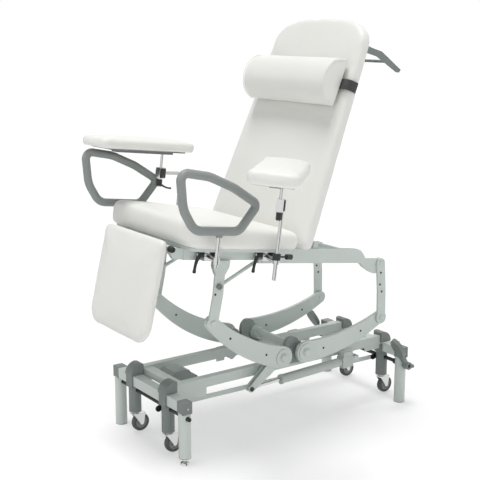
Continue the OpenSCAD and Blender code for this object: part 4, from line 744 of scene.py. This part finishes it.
# Legrest. A steel plate swings on the front hinge shaft and carries a foam pad in the same vinyl.
# Black lobed knobs with collars at the ends of the shaft set its angle.
finish(frame_paint, "legrest_frame")
legrest_lean = math.radians(13.5)
legrest_turn = Matrix.Translation(hinge_at["legrest_hinge"]) @ Matrix.Rotation(-legrest_lean, 4, "X")
stuffed("legrest_cushion", "legrest_pad", voxel=0.007, tuck=0.0035, rise=0.007, turn=legrest_turn,
        down=(0, 1, 0), body="legrest", past=((0.004, 0.006), (0, 0), (0, 0.010)))
shaft_end = 0.2075
collar_h = 0.0165
collar_outline = [(0.0, 0.0), (0.0072, 0.0), (0.0072, 0.0053), (0.0098, 0.0053), (0.0122, 0.0065),
                  (0.0122, 0.0147), (0.0112, collar_h), (0.0098, collar_h)]
knobs = bmesh.new()
for side in (1, -1):
    end = legrest_turn @ across((side * shaft_end, 0, 0), side)
    turned(knobs, collar_outline, end, steps=36)
    lobed(knobs, radius=0.0112, height=0.0118, lobes=6, depth=0.16,
          place=end @ Matrix.Translation((0, 0, collar_h)))
knobs = fitted("hinge_grips", knobs, black_moulding, "legrest")
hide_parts("hinge_knobs")

# Armrests. A steel loop is moulded over with grey self-skinned foam and stands on a plated post,
# which slides in a clamp on the rail; a moulded collar closes the foam round the post.
loop_foam = coated("loop_foam", (0.275, 0.30, 0.29), (0.245, 0.27, 0.26), (0.33, 0.35, 0.34), 0.44,
                   edge=0.0006, wear=0.1, grain=1100.0, relief=0.00009, drift=5.0)
finish(loop_foam, "armrest_loop_left", "armrest_loop_right")
finish(bright_metal, "armrest_post_left", "armrest_post_right")
post_x = 0.359
loop_post_y = -0.491
collar_bore_r = 0.0082
collar_foot, collar_top = 0.0640, 0.0760
loop_collar = [(collar_bore_r, collar_foot), (0.0112, collar_foot), (0.0122, collar_foot + 0.0012),
               (0.0126, 0.0705), (0.0126, collar_top), (collar_bore_r, collar_top)]
for hand, side in (("left", 1), ("right", -1)):
    collar = bmesh.new()
    turned(collar, loop_collar, frame_turn @ Matrix.Translation((side * post_x, loop_post_y, 0)), steps=36)
    fitted(f"loop_collar_{hand}", collar, loop_foam, f"armrest_{hand}")

# Rail clamps. A plated block grips the rail and a split socket grips the post; a black lever with
# a plated button closes one side and a lobed knob the other. Stop collars hold the sampling posts.
finish(bright_metal, "rail_clamps")
pad_post_y = -0.217
lever_hub = [(0.0, -0.0120), (0.0040, -0.0120), (0.0040, 0.0002), (0.0108, 0.0002), (0.0116, 0.0012),
             (0.0119, 0.0080), (0.0112, 0.0190), (0.0096, 0.0220), (0.0050, 0.0232), (0.0, 0.0232)]
lever_arm = [((0, -0.0090, 0.0020), 0.0070), ((0, -0.0130, -0.0040), 0.0080),
             ((0, -0.0185, -0.0140), 0.0074), ((0, -0.0230, -0.0260), 0.0066),
             ((0, -0.0262, -0.0400), 0.0058), ((0, -0.0276, -0.0530), 0.0056),
             ((0, -0.0281, -0.0600), 0.0062), ((0, -0.0283, -0.0650), 0.0070),
             ((0, -0.0284, -0.0690), 0.0066), ((0, -0.0284, -0.0715), 0.0042)]
lever_button = [(0.0, 0.0252), (0.0040, 0.0249), (0.0056, 0.0240), (0.0061, 0.0222)]


def swept(shape, stations, steps=16):
    """Joins round rings of given radius along a curved line, closed at both ends."""
    last = len(stations) - 1
    rings = []
    for index, (place, radius) in enumerate(stations):
        ahead = Vector(stations[min(index + 1, last)][0]) - Vector(stations[max(index - 1, 0)][0])
        turn = ahead.to_track_quat("Z", "X").to_matrix().to_4x4()
        ring = bmesh.ops.create_circle(shape, cap_ends=index in (0, last), segments=steps, radius=radius,
                                       matrix=Matrix.Translation(place) @ turn)["verts"]
        rings.append(ring)
    for pair in zip(rings, rings[1:]):
        rims = []
        for ring in pair:
            near = {edge for point in ring for edge in point.link_edges}
            rims += [edge for edge in near if edge.verts[0] in ring and edge.verts[1] in ring]
        bmesh.ops.bridge_loops(shape, edges=rims)
    return [point for ring in rings for point in ring]


clamp_joints = [f"clamp_turn_{hand}_{row}" for hand in ("left", "right") for row in ("front", "rear")]
for number, joint in enumerate(clamp_joints, 1):
    place = Matrix.Translation(hinge_at[joint]) @ Matrix.Rotation(-seat_pitch, 4, "X")
    along_rail = place @ Matrix.Rotation(math.pi / 2, 4, "X")
    lever = bmesh.new()
    turned(lever, lever_hub, along_rail, steps=32)
    arm = swept(lever, lever_arm)
    bmesh.ops.transform(lever, matrix=place, verts=arm)
    lever = fitted(f"clamp_handle_{number}", lever, black_moulding, f"clamp_lever_{number}")
    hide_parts(f"clamp_lever_{number}")
    button = bmesh.new()
    turned(button, lever_button, along_rail, steps=24)
    fitted(f"lever_button_{number}", button, bright_metal, f"clamp_lever_{number}")

grip_x, grip_past_post, grip_down = 0.2440, 0.0640, 0.024
stop_down = 0.006
stop_collar = [(0.0100, -0.0125), (0.0146, -0.0125), (0.0155, -0.0115), (0.0155, 0.0115), (0.0146, 0.0125),
               (0.0100, 0.0125)]
stud_r, stud_l = 0.0036, 0.046
knob_turn = Matrix.Rotation(-math.pi / 2, 4, "X")
grips = bmesh.new()
for side in (1, -1):
    for post_y in (loop_post_y, pad_post_y):
        grip = frame_turn @ Matrix.Translation((side * grip_x, post_y + grip_past_post, -grip_down))
        lobed(grips, radius=0.0205, height=0.0160, lobes=7, depth=0.13, place=grip @ knob_turn)
    collar = frame_turn @ Matrix.Translation((side * post_x, pad_post_y, -stop_down))
    turned(grips, stop_collar, collar, steps=32)
    turned(grips, [(stud_r, 0.012), (stud_r, stud_l)], collar @ knob_turn, steps=16)
    lobed(grips, radius=0.0112, height=0.0280, lobes=6, depth=0.14,
          place=collar @ Matrix.Translation((0, stud_l, 0)) @ knob_turn)
fitted("clamp_grips", grips, black_moulding, "top_frame")

# Sampling arms. A plated post bent to the front carries a clamp block, in which the stub of the
# padded tray turns; a black knob under the block and a plate at its side lock it.
finish(bright_metal, "pad_post_left", "pad_post_right", "pad_head_left", "pad_head_right")
tray_moulding = coated("tray_moulding", (0.225, 0.235, 0.245), (0.19, 0.20, 0.21), (0.3, 0.31, 0.32), 0.5)
finish(tray_moulding, "pad_tray_left", "pad_tray_right")
post_bend, post_reach = 0.026, 0.124
lock_down = 0.0275
plate_out = 0.0168
plate_size = (0.0050, 0.026, 0.040)
lock_handle = [((0, 0.002, -0.0480), 0.0052), ((0, 0.012, -0.0510), 0.0046), ((0, 0.026, -0.0575), 0.0040),
               ((0, 0.042, -0.0625), 0.0037), ((0, 0.058, -0.0650), 0.0038), ((0, 0.066, -0.0652), 0.0044),
               ((0, 0.070, -0.0652), 0.0030)]
for hand, side, turn, top, droop, fuller in (("left", 1, 47, 0.208, 3.6, 0.010),
                                             ("right", -1, -13, 0.225, 0.6, 0)):
    post = (frame_turn @ Matrix.Translation((side * post_x, pad_post_y, 0))
            @ Matrix.Rotation(math.radians(side * turn), 4, "Z"))
    bend = (post @ Matrix.Translation((0, -post_bend, top - post_bend))
            @ Matrix.Rotation(math.radians(droop), 4, "X"))
    head = bend @ Matrix.Translation((0, post_bend - post_reach, post_bend))
    lock = bmesh.new()
    under = head @ Matrix.Translation((0, 0, -lock_down)) @ Matrix.Rotation(math.pi, 4, "X")
    lobed(lock, radius=0.0112, height=0.030, lobes=6, depth=0.16, place=under)
    block(lock, head @ Matrix.Translation((plate_out, 0, 0)), plate_size, rounding=0.0014, segments=3)
    if hand == "right":
        handle = swept(lock, lock_handle)
        bmesh.ops.transform(lock, matrix=head, verts=handle)
    fitted(f"pad_lock_{hand}", lock, black_moulding, f"pad_post_{hand}")
    stuffed(f"sampling_pad_{hand}", f"arm_pad_{hand}", voxel=0.005, tuck=0.003, rise=0.006, turn=head,
            down=(0, 0, -1), body=f"sampling_pad_{hand}", past=((0, 0), (0, 0), (0, fuller)))
